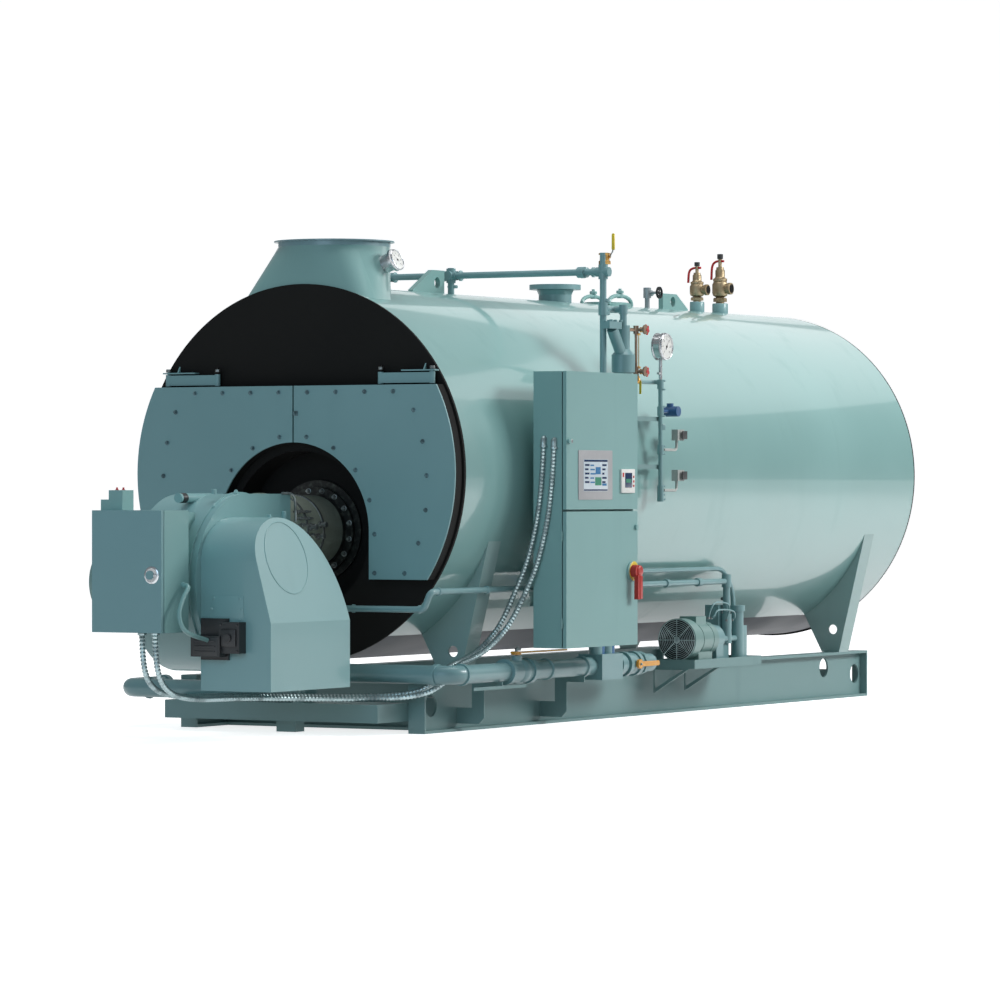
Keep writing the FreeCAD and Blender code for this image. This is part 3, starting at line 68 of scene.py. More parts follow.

# %% [markdown]
# Small parts are all made with three ways of working metal: turning, filing flat pieces and bending tube. A
# turned part is a profile spun about an axis, so one function makes washers, knobs, caps and valve bodies.
# Spinning it in six steps makes a nut. This is why no ready-made primitive is used for them.

# %% Turned parts
class Part:
    """Collects the pieces of one part, then makes a single object from them."""

    def __init__(self):
        self.mesh = bmesh.new()

    def turned(self, profile, start, along, steps=32):
        """A profile of (radius, distance) pairs spun about a line from start."""
        along = Vector(along).normalized()
        turn = along.to_track_quat("Z", "Y").to_matrix()
        rings = []
        for radius, distance in profile:
            ring = []
            for step in range(steps):
                angle = 2 * math.pi * step / steps
                local = Vector((radius * math.cos(angle), radius * math.sin(angle), distance))
                ring.append(self.mesh.verts.new(Vector(start) + turn @ local))
            rings.append(ring)
        for low, high in zip(rings, rings[1:]):
            for step in range(steps):
                after = (step + 1) % steps
                self.mesh.faces.new((low[step], low[after], high[after], high[step]))
        self.mesh.faces.new(list(reversed(rings[0])))
        self.mesh.faces.new(rings[-1])
        return self

    def bar(self, radius, start, end, steps=24, edge=0.12):
        """A round bar with its end corners eased."""
        along = Vector(end) - Vector(start)
        ease = min(radius, along.length / 2) * edge
        profile = [(radius - ease, 0), (radius, ease), (radius, along.length - ease),
                   (radius - ease, along.length)]
        return self.turned(profile, start, along, steps)

    def nut(self, across, height, start, along):
        """A hexagon nut or bolt head with its corners chamfered."""
        radius = across / math.sqrt(3)
        profile = [(radius * 0.98, 0), (radius, height * 0.1), (radius, height * 0.8),
                   (radius * 0.86, height)]
        return self.turned(profile, start, along, 6)

    def bolt(self, thread, start, along, reach=0.6):
        """A washer, a nut and the end of the thread, in the sizes that go with the thread."""
        along = Vector(along).normalized()
        start = Vector(start)
        self.turned([(thread, 0), (thread * 1.1, thread * 0.05), (thread * 1.1, thread * 0.2),
                     (thread * 1.02, thread * 0.24)], start, along)
        self.nut(thread * 1.55, thread * 0.85, start + along * thread * 0.24, along)
        self.bar(thread / 2, start + along * thread, start + along * thread * (1.1 + reach), 16)
        return self


print("turned parts: washers, nuts, bars, bolts")

# %% [markdown]
# Sheet and block parts start as a block with rounded edges. The rounding matters: a sharp edge catches no
# light, so it looks unreal. Bent parts are a ring of points carried along a path, turned as little as
# possible from one station to the next so that the tube does not twist.

# %% Blocks and bent tube
def block(part, low, high, rounding=0.002, turn=None, about=None):
    """A block between two corners, with its edges rounded, turned about a point if asked."""
    low, high = Vector(low), Vector(high)
    made = bmesh.ops.create_cube(part.mesh, size=1.0)
    middle = (low + high) / 2
    for vert in made["verts"]:
        vert.co = middle + Vector(vert.co[i] * (high[i] - low[i]) for i in range(3))
    edges = {edge for vert in made["verts"] for edge in vert.link_edges}
    if rounding:
        span = min(high[i] - low[i] for i in range(3))
        bevel = bmesh.ops.bevel(part.mesh, geom=list(edges), offset=min(rounding, span * 0.4),
                                segments=3, profile=0.5, affect="EDGES")
        verts = set(bevel["verts"]) | {v for v in made["verts"] if v.is_valid}
    else:
        verts = set(made["verts"])
    if turn is not None:
        bmesh.ops.rotate(part.mesh, cent=about or middle, matrix=turn, verts=list(verts))
    return part


Part.block = block


def smooth_path(points, steps=8):
    """Points of a smooth line that runs through the given ones."""
    points = [Vector(point) for point in points]
    ends = [points[0] * 2 - points[1]] + points + [points[-1] * 2 - points[-2]]
    line = []
    for a, b, c, d in zip(ends, ends[1:], ends[2:], ends[3:]):
        for step in range(steps):
            t = step / steps
            line.append(0.5 * (2 * b + (c - a) * t + (2 * a - 5 * b + 4 * c - d) * t * t
                               + (3 * b - a - 3 * c + d) * t ** 3))
    return line + [points[-1]]


def bent(part, radius, line, steps=14, ripple=None):
    """A round tube along a line of points. ripple gives the radius at each distance along it."""
    line = [Vector(point) for point in line]
    heading = (line[1] - line[0]).normalized()
    side = heading.orthogonal().normalized()
    rings, travelled = [], 0.0
    for index, point in enumerate(line):
        before = line[max(index - 1, 0)]
        after = line[min(index + 1, len(line) - 1)]
        new_heading = (after - before).normalized()
        side.rotate(heading.rotation_difference(new_heading))
        heading = new_heading
        travelled += (point - before).length
        other = heading.cross(side)
        size = ripple(travelled) if ripple else radius
        ring = []
        for step in range(steps):
            angle = 2 * math.pi * step / steps
            out = side * math.cos(angle) + other * math.sin(angle)
            ring.append(part.mesh.verts.new(point + out * size))
        rings.append(ring)
    for low, high in zip(rings, rings[1:]):
        for step in range(steps):
            next_step = (step + 1) % steps
            part.mesh.faces.new((low[step], low[next_step], high[next_step], high[step]))
    part.mesh.faces.new(list(reversed(rings[0])))
    part.mesh.faces.new(rings[-1])
    return part


Part.bent = bent


def ring(part, radius, thickness, middle, axis, steps=48):
    """A closed ring of round bar, such as the rim of a handwheel."""
    axis = Vector(axis).normalized()
    side = axis.orthogonal().normalized()
    other = axis.cross(side)
    loops = []
    for step in range(steps):
        angle = 2 * math.pi * step / steps
        out = side * math.cos(angle) + other * math.sin(angle)
        loop = []
        for turn in range(12):
            around = 2 * math.pi * turn / 12
            offset = out * (radius + thickness * math.cos(around)) + axis * thickness * math.sin(around)
            loop.append(part.mesh.verts.new(Vector(middle) + offset))
        loops.append(loop)
    for step in range(steps):
        low, high = loops[step], loops[(step + 1) % steps]
        for turn in range(12):
            after = (turn + 1) % 12
            part.mesh.faces.new((low[turn], high[turn], high[after], low[after]))
    return part


Part.ring = ring


def plate(part, outline, thickness, start, across, up):
    """A flat plate cut to an outline of (across, up) pairs and given a thickness."""
    across, up = Vector(across).normalized(), Vector(up).normalized()
    out = across.cross(up)
    near = [part.mesh.verts.new(Vector(start) + across * a + up * b) for a, b in outline]
    far = [part.mesh.verts.new(vert.co + out * thickness) for vert in near]
    part.mesh.faces.new(list(reversed(near)))
    part.mesh.faces.new(far)
    for index in range(len(near)):
        after = (index + 1) % len(near)
        part.mesh.faces.new((near[index], near[after], far[after], far[index]))
    return part


Part.plate = plate
print("blocks, bent tube, rings and plates")

# %% [markdown]
# A finished part becomes one object, named for what it is. It rides on the body it is fixed to, so it
# moves with a door or a lever, and it takes one of the finishes made in this script.

# %% Fitting a part to the boiler
fitted = []


def fit(part, name, finish, body="boiler", replaces=(), smooth=40):
    """Makes the object, gives it a finish and fixes it to its body."""
    bmesh.ops.recalc_face_normals(part.mesh, faces=part.mesh.faces)
    mesh = bpy.data.meshes.new(name)
    part.mesh.to_mesh(mesh)
    part.mesh.free()
    made = bpy.data.objects.new(name, mesh)
    bpy.context.scene.collection.objects.link(made)
    mesh.materials.append(finish)
    mesh.shade_smooth()
    mesh.set_sharp_from_angle(angle=math.radians(smooth))
    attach(made, body)
    if replaces:
        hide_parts(*replaces)
    fitted.append(name)
    return made


print("fit() makes one object of a part")

# %% [markdown]
# Shader maths reads best as ordinary sums. This small class holds one output of a shader node, and the
# signs + - * between two of them, or one and a number, add the Math node that does it.

# %% Shader values as expressions
class Amount:
    """One output of a shader node that holds a number."""

    def __init__(self, finish, socket):
        self.finish = finish
        self.socket = socket

    def sum(self, operation, first, second):
        return self.finish.node("ShaderNodeMath", {"operation": operation}, {0: first, 1: second})

    def __add__(self, other):
        return self.sum("ADD", self, other)

    def __radd__(self, other):
        return self.sum("ADD", other, self)

    def __sub__(self, other):
        return self.sum("SUBTRACT", self, other)

    def __rsub__(self, other):
        return self.sum("SUBTRACT", other, self)

    def __mul__(self, other):
        return self.sum("MULTIPLY", self, other)

    def __rmul__(self, other):
        return self.sum("MULTIPLY", other, self)


class Finish:
    """A material that is being built, with one method that adds any node."""

    def __init__(self, name):
        self.material = bpy.data.materials.new(name)
        self.material.use_nodes = True
        self.tree = self.material.node_tree
        self.shader = self.tree.nodes["Principled BSDF"]
        where = self.tree.nodes.new("ShaderNodeTexCoord")
        self.where = Amount(self, where.outputs["Object"])

    def node(self, kind, settings=None, sockets=None, output=0):
        """Adds a node: its settings are set first, then the values or links of its sockets."""
        made = self.tree.nodes.new(kind)
        for name, value in (settings or {}).items():
            if name == "stops":
                self.set_stops(made.color_ramp, value)
            else:
                setattr(made, name, value)
        for name, value in (sockets or {}).items():
            self.feed(made.inputs[name], value)
        return Amount(self, made.outputs[output])

    def set_stops(self, ramp, stops):
        """Colour stops of a ramp, from (place, grey or colour) pairs."""
        while len(ramp.elements) < len(stops):
            ramp.elements.new(0.5)
        for element, (position, colour) in zip(ramp.elements, stops):
            element.position = position
            element.color = (colour,) * 3 + (1,) if isinstance(colour, (int, float)) else tuple(colour) + (1,)

    def feed(self, socket, value):
        """Gives a socket a link or a plain value."""
        if isinstance(value, Amount):
            self.tree.links.new(value.socket, socket)
        else:
            socket.default_value = value

    def noise(self, scale, detail=4.0, stretch=None, roughness=0.5):
        """A cloudy pattern. stretch draws it out along an axis."""
        where = self.where
        if stretch:
            where = self.node("ShaderNodeMapping", None, {"Vector": self.where, "Scale": stretch})
        return self.node("ShaderNodeTexNoise", None,
                         {"Vector": where, "Scale": scale, "Detail": detail, "Roughness": roughness})

    def mask(self, amount, low, high):
        """Nought below low, one above high, and smooth between."""
        return self.node("ShaderNodeMapRange", {"interpolation_type": "SMOOTHSTEP"},
                         {"Value": amount, "From Min": low, "From Max": high})

    def mix(self, factor, first, second):
        """One colour fading into another."""
        return self.node("ShaderNodeMix", {"data_type": "RGBA"},
                         {0: factor, 6: first, 7: second}, output=2)

    def set(self, **sockets):
        """Feeds the shader's own sockets, named with _ for a space."""
        for name, value in sockets.items():
            self.feed(self.shader.inputs[name.replace("_", " ")], value)
        return self

    def bump(self, height, strength, distance):
        """Turns a pattern into small hills and feeds it to the shader's normal."""
        normal = self.node("ShaderNodeBump", None,
                           {"Height": height, "Strength": strength, "Distance": distance})
        return self.set(Normal=normal)


def colour(red, green, blue, strength=1.0):
    """A screen colour from 0 to 255 as the linear colour that shaders use."""
    def linear(value):
        value = value / 255
        return value / 12.92 if value < 0.04045 else ((value + 0.055) / 1.055) ** 2.4
    return tuple(linear(value) * strength for value in (red, green, blue)) + (1,)


print("shader values can be added, subtracted and multiplied")

# %% [markdown]
# The boiler is sprayed with a blue-green enamel. Sprayed enamel is never one flat colour: it fades a little
# in patches, holds a fine peel that breaks up its reflections, picks up fine specks of dust, and is rubbed
# where people work. Four patterns do this, each at its real scale.

# %% Enamel paint
def enamel(name, base, gloss=0.32, peel=0.05, grime=0.25, coat=0.25):
    """Sprayed enamel with fading, orange peel, dust, and thin grime streaks."""
    finish = Finish(name)
    dark = tuple(channel * 0.80 for channel in base[:3]) + (1,)
    light = tuple(min(1, channel * 1.07 + 0.01) for channel in base[:3]) + (1,)
    patches = finish.mask(finish.noise(0.9, 3), 0.3, 0.7)
    streaks = finish.mask(finish.noise(5, 6, stretch=(1, 1, 0.12)), 0.55, 0.85)
    specks = finish.mask(finish.noise(420, 2), 0.25, 0.8)
    faded = finish.mix(patches * 0.7 + specks * 0.3, base, light)
    stained = finish.mix(streaks * grime, faded, dark)
    scuffs = finish.mask(finish.noise(38, 8, roughness=0.7), 0.68, 0.74)
    rubbed = finish.mix(scuffs * 0.25, stained, tuple(channel * 0.55 + 0.02 for channel in base[:3]) + (1,))
    finish.set(Base_Color=rubbed, Roughness=gloss + patches * 0.06 + streaks * 0.12)
    finish.shader.inputs["Coat Weight"].default_value = coat
    finish.shader.inputs["Coat Roughness"].default_value = 0.06
    finish.bump(finish.noise(260, 2) + specks * 0.3, peel, 0.0006)
    return finish.material


shell_enamel = enamel("shell_enamel", colour(126, 169, 166), gloss=0.3, coat=0.65)
# The door paint is the shell's enamel made a little darker and bluer: painted shade for the doors, davit arms
# and control box door, which face the front.
front_shaded_enamel = enamel("front_shaded_enamel", colour(122, 163, 166), gloss=0.42, peel=0.1, coat=0.1)
cabinet_enamel = enamel("cabinet_enamel", colour(127, 170, 168), gloss=0.4, peel=0.12, coat=0.1)
skid_enamel = enamel("skid_enamel", colour(112, 146, 146), gloss=0.45, grime=0.5, coat=0.05)
pipe_enamel = enamel("pipe_enamel", colour(118, 157, 160), gloss=0.36, grime=0.4, coat=0.2)
burner_enamel = enamel("burner_enamel", colour(130, 172, 173), gloss=0.38, coat=0.25)
motor_enamel = enamel("motor_enamel", colour(116, 150, 146), gloss=0.42, grime=0.5)
print("enamels:", len([m for m in bpy.data.materials if "enamel" in m.name]))

# %% [markdown]
# The front plate and the tunnel behind the doors get heat paint: almost black, matt, with a fine grain.
# Bare metals differ by how they were worked: turned steel has rings, a casting is pitted, brass tarnishes.

# %% Heat paint, castings and bare metals
def heat_paint(name, base, rough=0.62):
    """Matt black paint with a fine grain and slightly greyed patches."""
    finish = Finish(name)
    patches = finish.mask(finish.noise(2.2, 5), 0.35, 0.75)
    grain = finish.noise(520, 3)
    grey = tuple(channel + 0.004 for channel in base[:3]) + (1,)
    finish.set(Base_Color=finish.mix(patches, base, grey), Roughness=rough + patches * 0.1)
    finish.shader.inputs["Specular IOR Level"].default_value = 0.22
    finish.bump(grain, 0.15, 0.0006)
    return finish.material


def worked_metal(name, base, rough, tarnish, grain_scale=90, stretch=None, grain=0.12):
    """Bare metal with tarnish in patches and the grain left by how it was worked."""
    finish = Finish(name)
    patches = finish.mask(finish.noise(14, 6), 0.42, 0.72)
    lines = finish.noise(grain_scale, 5, stretch=stretch)
    finish.set(Base_Color=finish.mix(patches * 0.8, base, tarnish),
               Roughness=rough + patches * 0.18 + lines * 0.1, Metallic=0.95 - patches * 0.35)
    finish.bump(lines, grain, 0.0005)
    return finish.material


def moulded(name, base, rough=0.4, grain=0.06):
    """Moulded or dipped plastic with a fine texture."""
    finish = Finish(name)
    wear = finish.mask(finish.noise(24, 5), 0.5, 0.8)
    lighter = tuple(min(1, channel * 1.15 + 0.02) for channel in base[:3]) + (1,)
    finish.set(Base_Color=finish.mix(wear * 0.5, base, lighter), Roughness=rough + wear * 0.15)
    finish.bump(finish.noise(600, 2), grain, 0.0004)
    return finish.material


black_paint = heat_paint("black_heat_paint", colour(7, 8, 7), 0.78)
# This near-black is the tunnel's heat paint. The same material is also painted shade: dark discs set in an
# open pipe end, a valve outlet and the fan guard.
tunnel_paint_and_hollow_shade = heat_paint("tunnel_paint_and_hollow_shade", colour(6, 6, 6), 0.8)
dull_steel = worked_metal("dull_steel", colour(132, 138, 138), 0.42, colour(88, 90, 88))
hose_metal = worked_metal("hose_metal", colour(168, 186, 188), 0.34, colour(116, 130, 132), 160)
cast_bronze = worked_metal("cast_bronze", colour(168, 152, 124), 0.4, colour(120, 98, 68), 130, None, 0.3)
brass = worked_metal("brass", colour(200, 158, 92), 0.28, colour(140, 100, 52))
polished = worked_metal("polished_bezel", colour(206, 208, 210), 0.14, colour(150, 152, 154))
orange_grip = moulded("orange_grip", colour(222, 140, 44))
yellow_grip = moulded("yellow_grip", colour(222, 196, 40))
red_enamel = moulded("red_enamel", colour(196, 34, 38), 0.3)
red_handle = moulded("red_handle", colour(186, 44, 34), 0.35)
blue_case = moulded("blue_case", colour(52, 104, 152), 0.35)
black_plastic = moulded("black_plastic", colour(34, 36, 38), 0.45)
white_face = moulded("white_face", colour(238, 238, 234), 0.5, 0.02)
rubber = moulded("black_rubber", colour(20, 20, 20), 0.75)
print("finishes so far:", len(bpy.data.materials))

# %% [markdown]
# The CAD solids keep their shapes: they already have the real sizes. Each one only gets its finish, in the
# way a paint shop would list them, one finish and everything that is sprayed with it.

# %% Spray the CAD parts
paint_shop = {
    "shell_enamel": ["jacket", "stack_base", "lifting_lugs", "manway"],
    # The parts that face the front take the darker, bluer enamel: the shell's paint with painted shade in it.
    "front_shaded_enamel": ["door_right_plate", "door_left_plate", "davit_arm_right", "davit_arm_left",
                    "davit_brackets", "burner_box_door"],
    "cabinet_enamel": ["cabinet_body", "cabinet_upper_door", "cabinet_lower_door", "burner_box"],
    "skid_enamel": ["skid_rail_right", "skid_rail_left", "skid_cross_members", "burner_platform",
                    "side_brackets", "gas_brackets", "pump_tray"],
    "saddle_enamel": ["saddle_front", "saddle_rear"],
    "pipe_enamel": ["steam_nozzle", "column_pipes", "control_header", "gas_pipe", "gas_cross_pipe",
                    "gas_inlet", "gas_shutoff_valve", "gas_valves", "air_line", "water_column",
                    "pump_unit"],
    "burner_enamel": ["burner_volute", "burner_air_inlet"],
    "motor_enamel": ["burner_motor", "pump_motor"],
    "black_heat_paint": ["front_plate", "door_right_body", "door_left_body", "rear_plate"],
    "belly_grey": ["vessel_shell"],
    "tunnel_paint_and_hollow_shade": ["burner_recess"],
    "head_metal": ["burner_head"],
    "stack_metal": ["stack_collar"],
    "cast_bronze": ["safety_valves"],
    "vent_cock": ["vent_valve"],
    "orange_grip": ["gas_lever", "gas_second_lever"],
    "red_handle": ["disconnect_handle"],
    "black_plastic": ["burner_actuator"],
    "instrument_cases": ["header_instruments"],
    "polished_bezel": ["pressure_gauge", "stack_thermometer"],
    "gauge_tube": ["gauge_glass"],
    "hose_metal": ["cable_conduits"],
}
saddle_enamel = enamel("saddle_enamel", colour(140, 170, 168), gloss=0.4, grime=0.35)
stack_metal = enamel("stack_metal", colour(118, 152, 158), gloss=0.34)
gauge_tube = worked_metal("gauge_tube", colour(150, 128, 110), 0.3, colour(112, 92, 80))
belly_grey = heat_paint("belly_grey", colour(104, 106, 112), 0.5)


def along(finish, axis, low, high):
    """A mask that grows along one axis of the boiler, for a part whose ends differ in colour."""
    split = finish.tree.nodes.new("ShaderNodeSeparateXYZ")
    finish.feed(split.inputs[0], finish.where)
    return finish.mask(Amount(finish, split.outputs[axis]), low, high)


def two_tone(name, first, second, axis, low, high, rough=0.4, metal=0.0):
    """One casting or set of cases that is one colour before a place and another after it."""
    finish = Finish(name)
    wear = finish.mask(finish.noise(30, 5), 0.45, 0.8)
    both = finish.mix(along(finish, axis, low, high), first, second)
    worn = finish.mix(wear * 0.25, both, tuple(channel * 0.6 for channel in first[:3]) + (1,))
    finish.set(Base_Color=worn, Roughness=rough + wear * 0.15)
    finish.shader.inputs["Metallic"].default_value = metal
    finish.bump(finish.noise(300, 3), 0.12, 0.0005)
    return finish.material


vent_cock = two_tone("vent_cock", colour(30, 34, 36), colour(150, 160, 164), 1, -0.088, -0.084, 0.35, 0.4)
head_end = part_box("burner_head")[1].x - 0.085
head_metal = two_tone("head_metal", colour(168, 178, 164), colour(20, 22, 22), 0,
                      head_end, head_end + 0.012, 0.42, 0.45)
instrument_cases = two_tone("instrument_cases", colour(176, 180, 176), colour(48, 92, 140), 2,
                            1.90, 1.904, 0.38)
sprayed = 0
for finish_name, names in paint_shop.items():
    for name in names:
        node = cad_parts[name]
        node.data.materials.clear()
        node.data.materials.append(bpy.data.materials[finish_name])
        sprayed += 1
bare = set(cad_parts) - {name for names in paint_shop.values() for name in names}
print("sprayed", sprayed, "nodes; left bare:", sorted(bare))

# %% [markdown]
# Each front door is held shut by a row of studs along its top, a row round its outer edge and a row round
# the burner opening. A stud shows as a washer, a nut and a thread end. The rows are given once, for the
# right door, and the left door takes them mirrored.

# %% Door studs
door_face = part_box("door_right_plate")[0].x
stud_metal = worked_metal("stud_metal", colour(104, 128, 134), 0.4, colour(70, 88, 92))
top_row = [(102, 2050), (305, 2050), (508, 2050), (709, 2050)]
outer_row = [(852, 1937), (914, 1749), (942, 1546), (935, 1340), (885, 1143), (789, 962)]
inner_row = [(97, 1780), (289, 1713), (445, 1580), (544, 1399), (579, 1195), (579, 962)]
for side, name in ((-1, "right"), (1, "left")):
    studs = Part()
    for across, up in top_row + outer_row + inner_row:
        studs.bolt(0.013, (door_face, side * across / 1000, up / 1000), (-1, 0, 0), 0.5)
    fit(studs, f"door_{name}_studs", stud_metal, f"door_{name}")
seam_stud = Part().bolt(0.013, (door_face - 0.004, -0.018, 1.923), (-1, 0, 0), 0.5)
seam_stud.block((door_face - 0.004, -0.036, 1.908), (door_face - 0.0002, -0.003, 1.938), 0.0015)
fit(seam_stud, "door_seam_clamp", stud_metal, "door_right")
print("studs on each door:", len(top_row + outer_row + inner_row))

# %% [markdown]
# Each davit arm has an upright tube at both ends: one turns on the fixed post, the other carries the door.
# A washer and a nut close the top of both.

# %% Davit nuts
for side, name in ((-1, "right"), (1, "left")):
    low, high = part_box(f"davit_arm_{name}")
    middle = (low.x + high.x) / 2
    carried, fixed = Part(), Part()
    for part, across in ((carried, 0.585), (fixed, 0.946)):
        start = Vector((middle, side * across, high.z + (0.012 if part is carried else 0.0155)))
        part.turned([(0.0105, 0.0), (0.017, 0.0), (0.017, 0.004), (0.0105, 0.0045)], start, (0, 0, 1))
        part.nut(0.027, 0.015, start + Vector((0, 0, 0.004)), (0, 0, 1))
    fit(carried, f"davit_door_nut_{name}", dull_steel, f"door_{name}")
    fit(fixed, f"davit_post_nut_{name}", dull_steel, "boiler")
print("davit nuts fitted")

# %% [markdown]
# Round the blast tube sit the flange bolts, a clamp band, a sight port and the small rods that set the gas
# and air. They are bare metal, so they stand out against the black tunnel.

# %% Blast tube fittings
head_low, head_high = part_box("burner_head")
head_z = (head_low.z + head_high.z) / 2
fittings = Part()
for step in range(16):
    angle = 2 * math.pi * (step + 0.5) / 16
    out = Vector((0, math.cos(angle), math.sin(angle)))
    fittings.bolt(0.016, Vector((head_high.x - 0.044, 0, head_z)) + out * 0.248, (-1, 0, 0), 0.5)
fit(fittings, "burner_flange_bolts", dull_steel)
bands = Part()
for back in (-0.30, -0.12):
    bands.turned([(0.2185, 0), (0.2235, 0.001), (0.2235, 0.021), (0.2185, 0.022)],
                 (place(0, 0, 0).x + back, 0, head_z), (1, 0, 0), 64)
fit(bands, "burner_tube_bands", dull_steel)
rods = Part()
for across, up, back in ((-190, 1330, -400), (-205, 1290, -400), (-214, 1250, -390), (-216, 1190, -370)):
    tip = place(back, across, up)
    rods.bar(0.007, tip, tip + Vector((0.17, -0.012, 0)), 12)
    rods.bar(0.013, tip + Vector((0.03, -0.004, 0)), tip + Vector((0.055, -0.006, 0)), 16)
    rods.bar(0.011, tip + Vector((0.12, -0.01, 0)), tip + Vector((0.135, -0.011, 0)), 16)
for across, up, back in ((-222, 1235, -260), (-224, 1180, -180), (-222, 1250, -150)):
    start = place(back, across + 6, up)
    rods.turned([(0.02, 0), (0.02, 0.01), (0.012, 0.012), (0.012, 0.035), (0.017, 0.036), (0.017, 0.05)],
                start, (0, -1, 0.05), 20)
fit(rods, "burner_setting_rods", dull_steel)
print("blast tube: 16 bolts, 2 bands, setting rods")

# %% [markdown]
# The fan scroll is made of pressed halves, and lugs with screws hold the air hood against its rim. The hood
# itself has a pressed round panel and a screwed cover plate.

# %% Scroll lugs and hood panel
hood_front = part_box("burner_air_inlet")[0].x
scroll_middle = place(-977.5, 0, 914.5)
scroll_radius = 0.5225
trim = Part()
for step in range(40):
    angle = math.radians(60 + 175 * step / 39)
    if step % 6 == 2:
        out = Vector((math.cos(angle), 0, math.sin(angle)))
        spot = scroll_middle + out * (scroll_radius - 0.012) + Vector((0, -0.188, 0))
        trim.turned([(0.020, 0), (0.020, 0.006), (0.010, 0.007), (0.010, 0.012)], spot + out * 0.02,
                    (0, -1, 0), 20)
fit(trim, "scroll_seam_screws", burner_enamel)
hood_trim = Part()
for across, up in ((-500, 714), (-322, 714), (-515, 775), (-305, 775), (-500, 836), (-322, 836)):
    spot = Vector((hood_front - 0.003, across / 1000, up / 1000))
    hood_trim.turned([(0.009, 0), (0.009, 0.003), (0.006, 0.005)], spot, (-1, 0, 0), 16)
hood_trim.block((hood_front - 0.003, -0.525, 0.700), (hood_front - 0.0003, -0.295, 0.850), 0.001)
fit(hood_trim, "hood_cover_plate", burner_enamel)
lean = math.radians(15.3)
slope_out = Vector((0, -math.cos(lean), math.sin(lean)))
slope_up = Vector((0, math.sin(lean), math.cos(lean)))
pressed = Part()
centre = place(-1140, -710, 695) + slope_up * 0.385 + slope_out * 0.0006
pressed.ring(0.215, 0.003, centre, slope_out, 72)
fit(pressed, "hood_pressed_ring", burner_enamel)
nubs = Part()
nubs.bar(0.016, place(-1206, -150, 1437), place(-1206, -150, 1465))
nubs.bar(0.012, place(-1120, -479, 1300), place(-1120, -479, 1318))
nubs.bar(0.018, place(-579, -235, 1280), place(-579, -235, 1335))
fit(nubs, "burner_pipe_nubs", burner_enamel)
tube = [place(-600, -236, 1440), place(-520, -240, 1438), place(-478, -244, 1415), place(-468, -246, 1350),
        place(-466, -246, 1272)]
sensing = Part().bent(0.008, smooth_path(tube, 6), 12)
fit(sensing, "burner_sensing_tube", dull_steel)
print("scroll and hood trim fitted")

# %% [markdown]
# A short pipe opens at the front of the scroll. A black rim and a dark disc are painted shade meant as its
# open mouth, but the render shows a painted disc in front of a black band. The cause was not found.

# %% Open pipe stub
stub = Part()
stub_x = -977.5 - 358
stub_z = 1413
# The black rim is painted shade for the pipe's open mouth.
stub.turned([(0.0275, 0.0), (0.0295, 0.003), (0.0295, 0.05), (0.0275, 0.052)],
            place(stub_x - 2, 0, stub_z), (1, 0, 0))
fit(stub, "scroll_stub_rim_shade", black_plastic)
# The dark disc in front is painted shade for the inside of the open pipe.
stub_shade = Part().turned([(0.025, 0.0), (0.025, 0.002)], place(stub_x - 3, 0, stub_z), (-1, 0, 0), 40)
fit(stub_shade, "scroll_stub_inner_shade", tunnel_paint_and_hollow_shade)
print("stub mouth fitted")

# %% [markdown]
# The damper motor and its gearbox are two black cases joined by a shaft. Cast ribs, screws and a terminal
# cover make them more than boxes, and a bent conduit feeds them from the control box.

# %% Damper motor
case_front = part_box("burner_actuator")[0].x
cases = Part()
cases.block((case_front - 0.002, -0.405, 0.506), (case_front + 0.01, -0.235, 0.614), 0.004)
for up in (0.53, 0.56, 0.59):
    cases.block((case_front - 0.006, -0.39, up - 0.004), (case_front + 0.004, -0.25, up + 0.004), 0.002)
for across in (-0.525, -0.415):
    for up in (0.535, 0.685):
        cases.turned([(0.007, 0), (0.007, 0.004), (0.004, 0.006)], (case_front + 0.0195, across, up),
                     (-1, 0, 0), 14)
cases.block((case_front + 0.008, -0.52, 0.56), (case_front + 0.0205, -0.42, 0.66), 0.004)
cases.bar(0.024, (case_front + 0.0195, -0.47, 0.61), (case_front - 0.004, -0.47, 0.61))
fit(cases, "damper_motor_covers", black_plastic)
feed = Part()
box_low, box_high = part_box("burner_box")
feed_line = smooth_path([
    (box_low.x + 0.20, box_low.y - 0.002, 0.915), (box_low.x + 0.18, -0.292, 0.900),
    (box_low.x + 0.11, -0.30, 0.83), (box_low.x + 0.06, -0.31, 0.74), (box_low.x + 0.10, -0.33, 0.65),
    (case_front - 0.01, -0.335, 0.598), (case_front + 0.02, -0.34, 0.592),
], 8)
feed.bent(0.013, feed_line)
feed.bar(0.018, feed_line[0] + Vector((0, 0.004, 0)), feed_line[0] + Vector((0, -0.016, 0)))
fit(feed, "damper_motor_feed", cabinet_enamel)
print("damper motor fitted")

# %% [markdown]
# The control box shuts with a round turn-latch: a bright disc with a bar across it. On its roof is a small
# ignition box with two red terminals.

# %% Control box latch and roof box
face_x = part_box("burner_box_door")[0].x
latch = Part()
latch_spot = Vector((face_x, -0.175, 0.973))
latch.turned([(0.050, 0), (0.050, 0.003), (0.046, 0.006), (0.040, 0.007), (0.040, 0.0045), (0.024, 0.0045)],
             (face_x + 0.0099, latch_spot.y, latch_spot.z), (-1, 0, 0), 48)
latch.block((face_x + 0.001, latch_spot.y - 0.036, latch_spot.z - 0.007),
            (face_x + 0.008, latch_spot.y + 0.036, latch_spot.z + 0.007), 0.003)
fit(latch, "box_turn_latch", polished, "box_door")
roof = Part()
for across in (125, 170):
    roof.turned([(0.010, 0), (0.010, 0.004), (0.006, 0.005), (0.006, 0.014), (0.004, 0.016)],
                Vector((place(-1733, 0, 0).x, across / 1000, box_high.z + 0.0002)), (0, 0, 1), 16)
fit(roof, "ignition_terminals", red_enamel)
print("control box trim fitted")

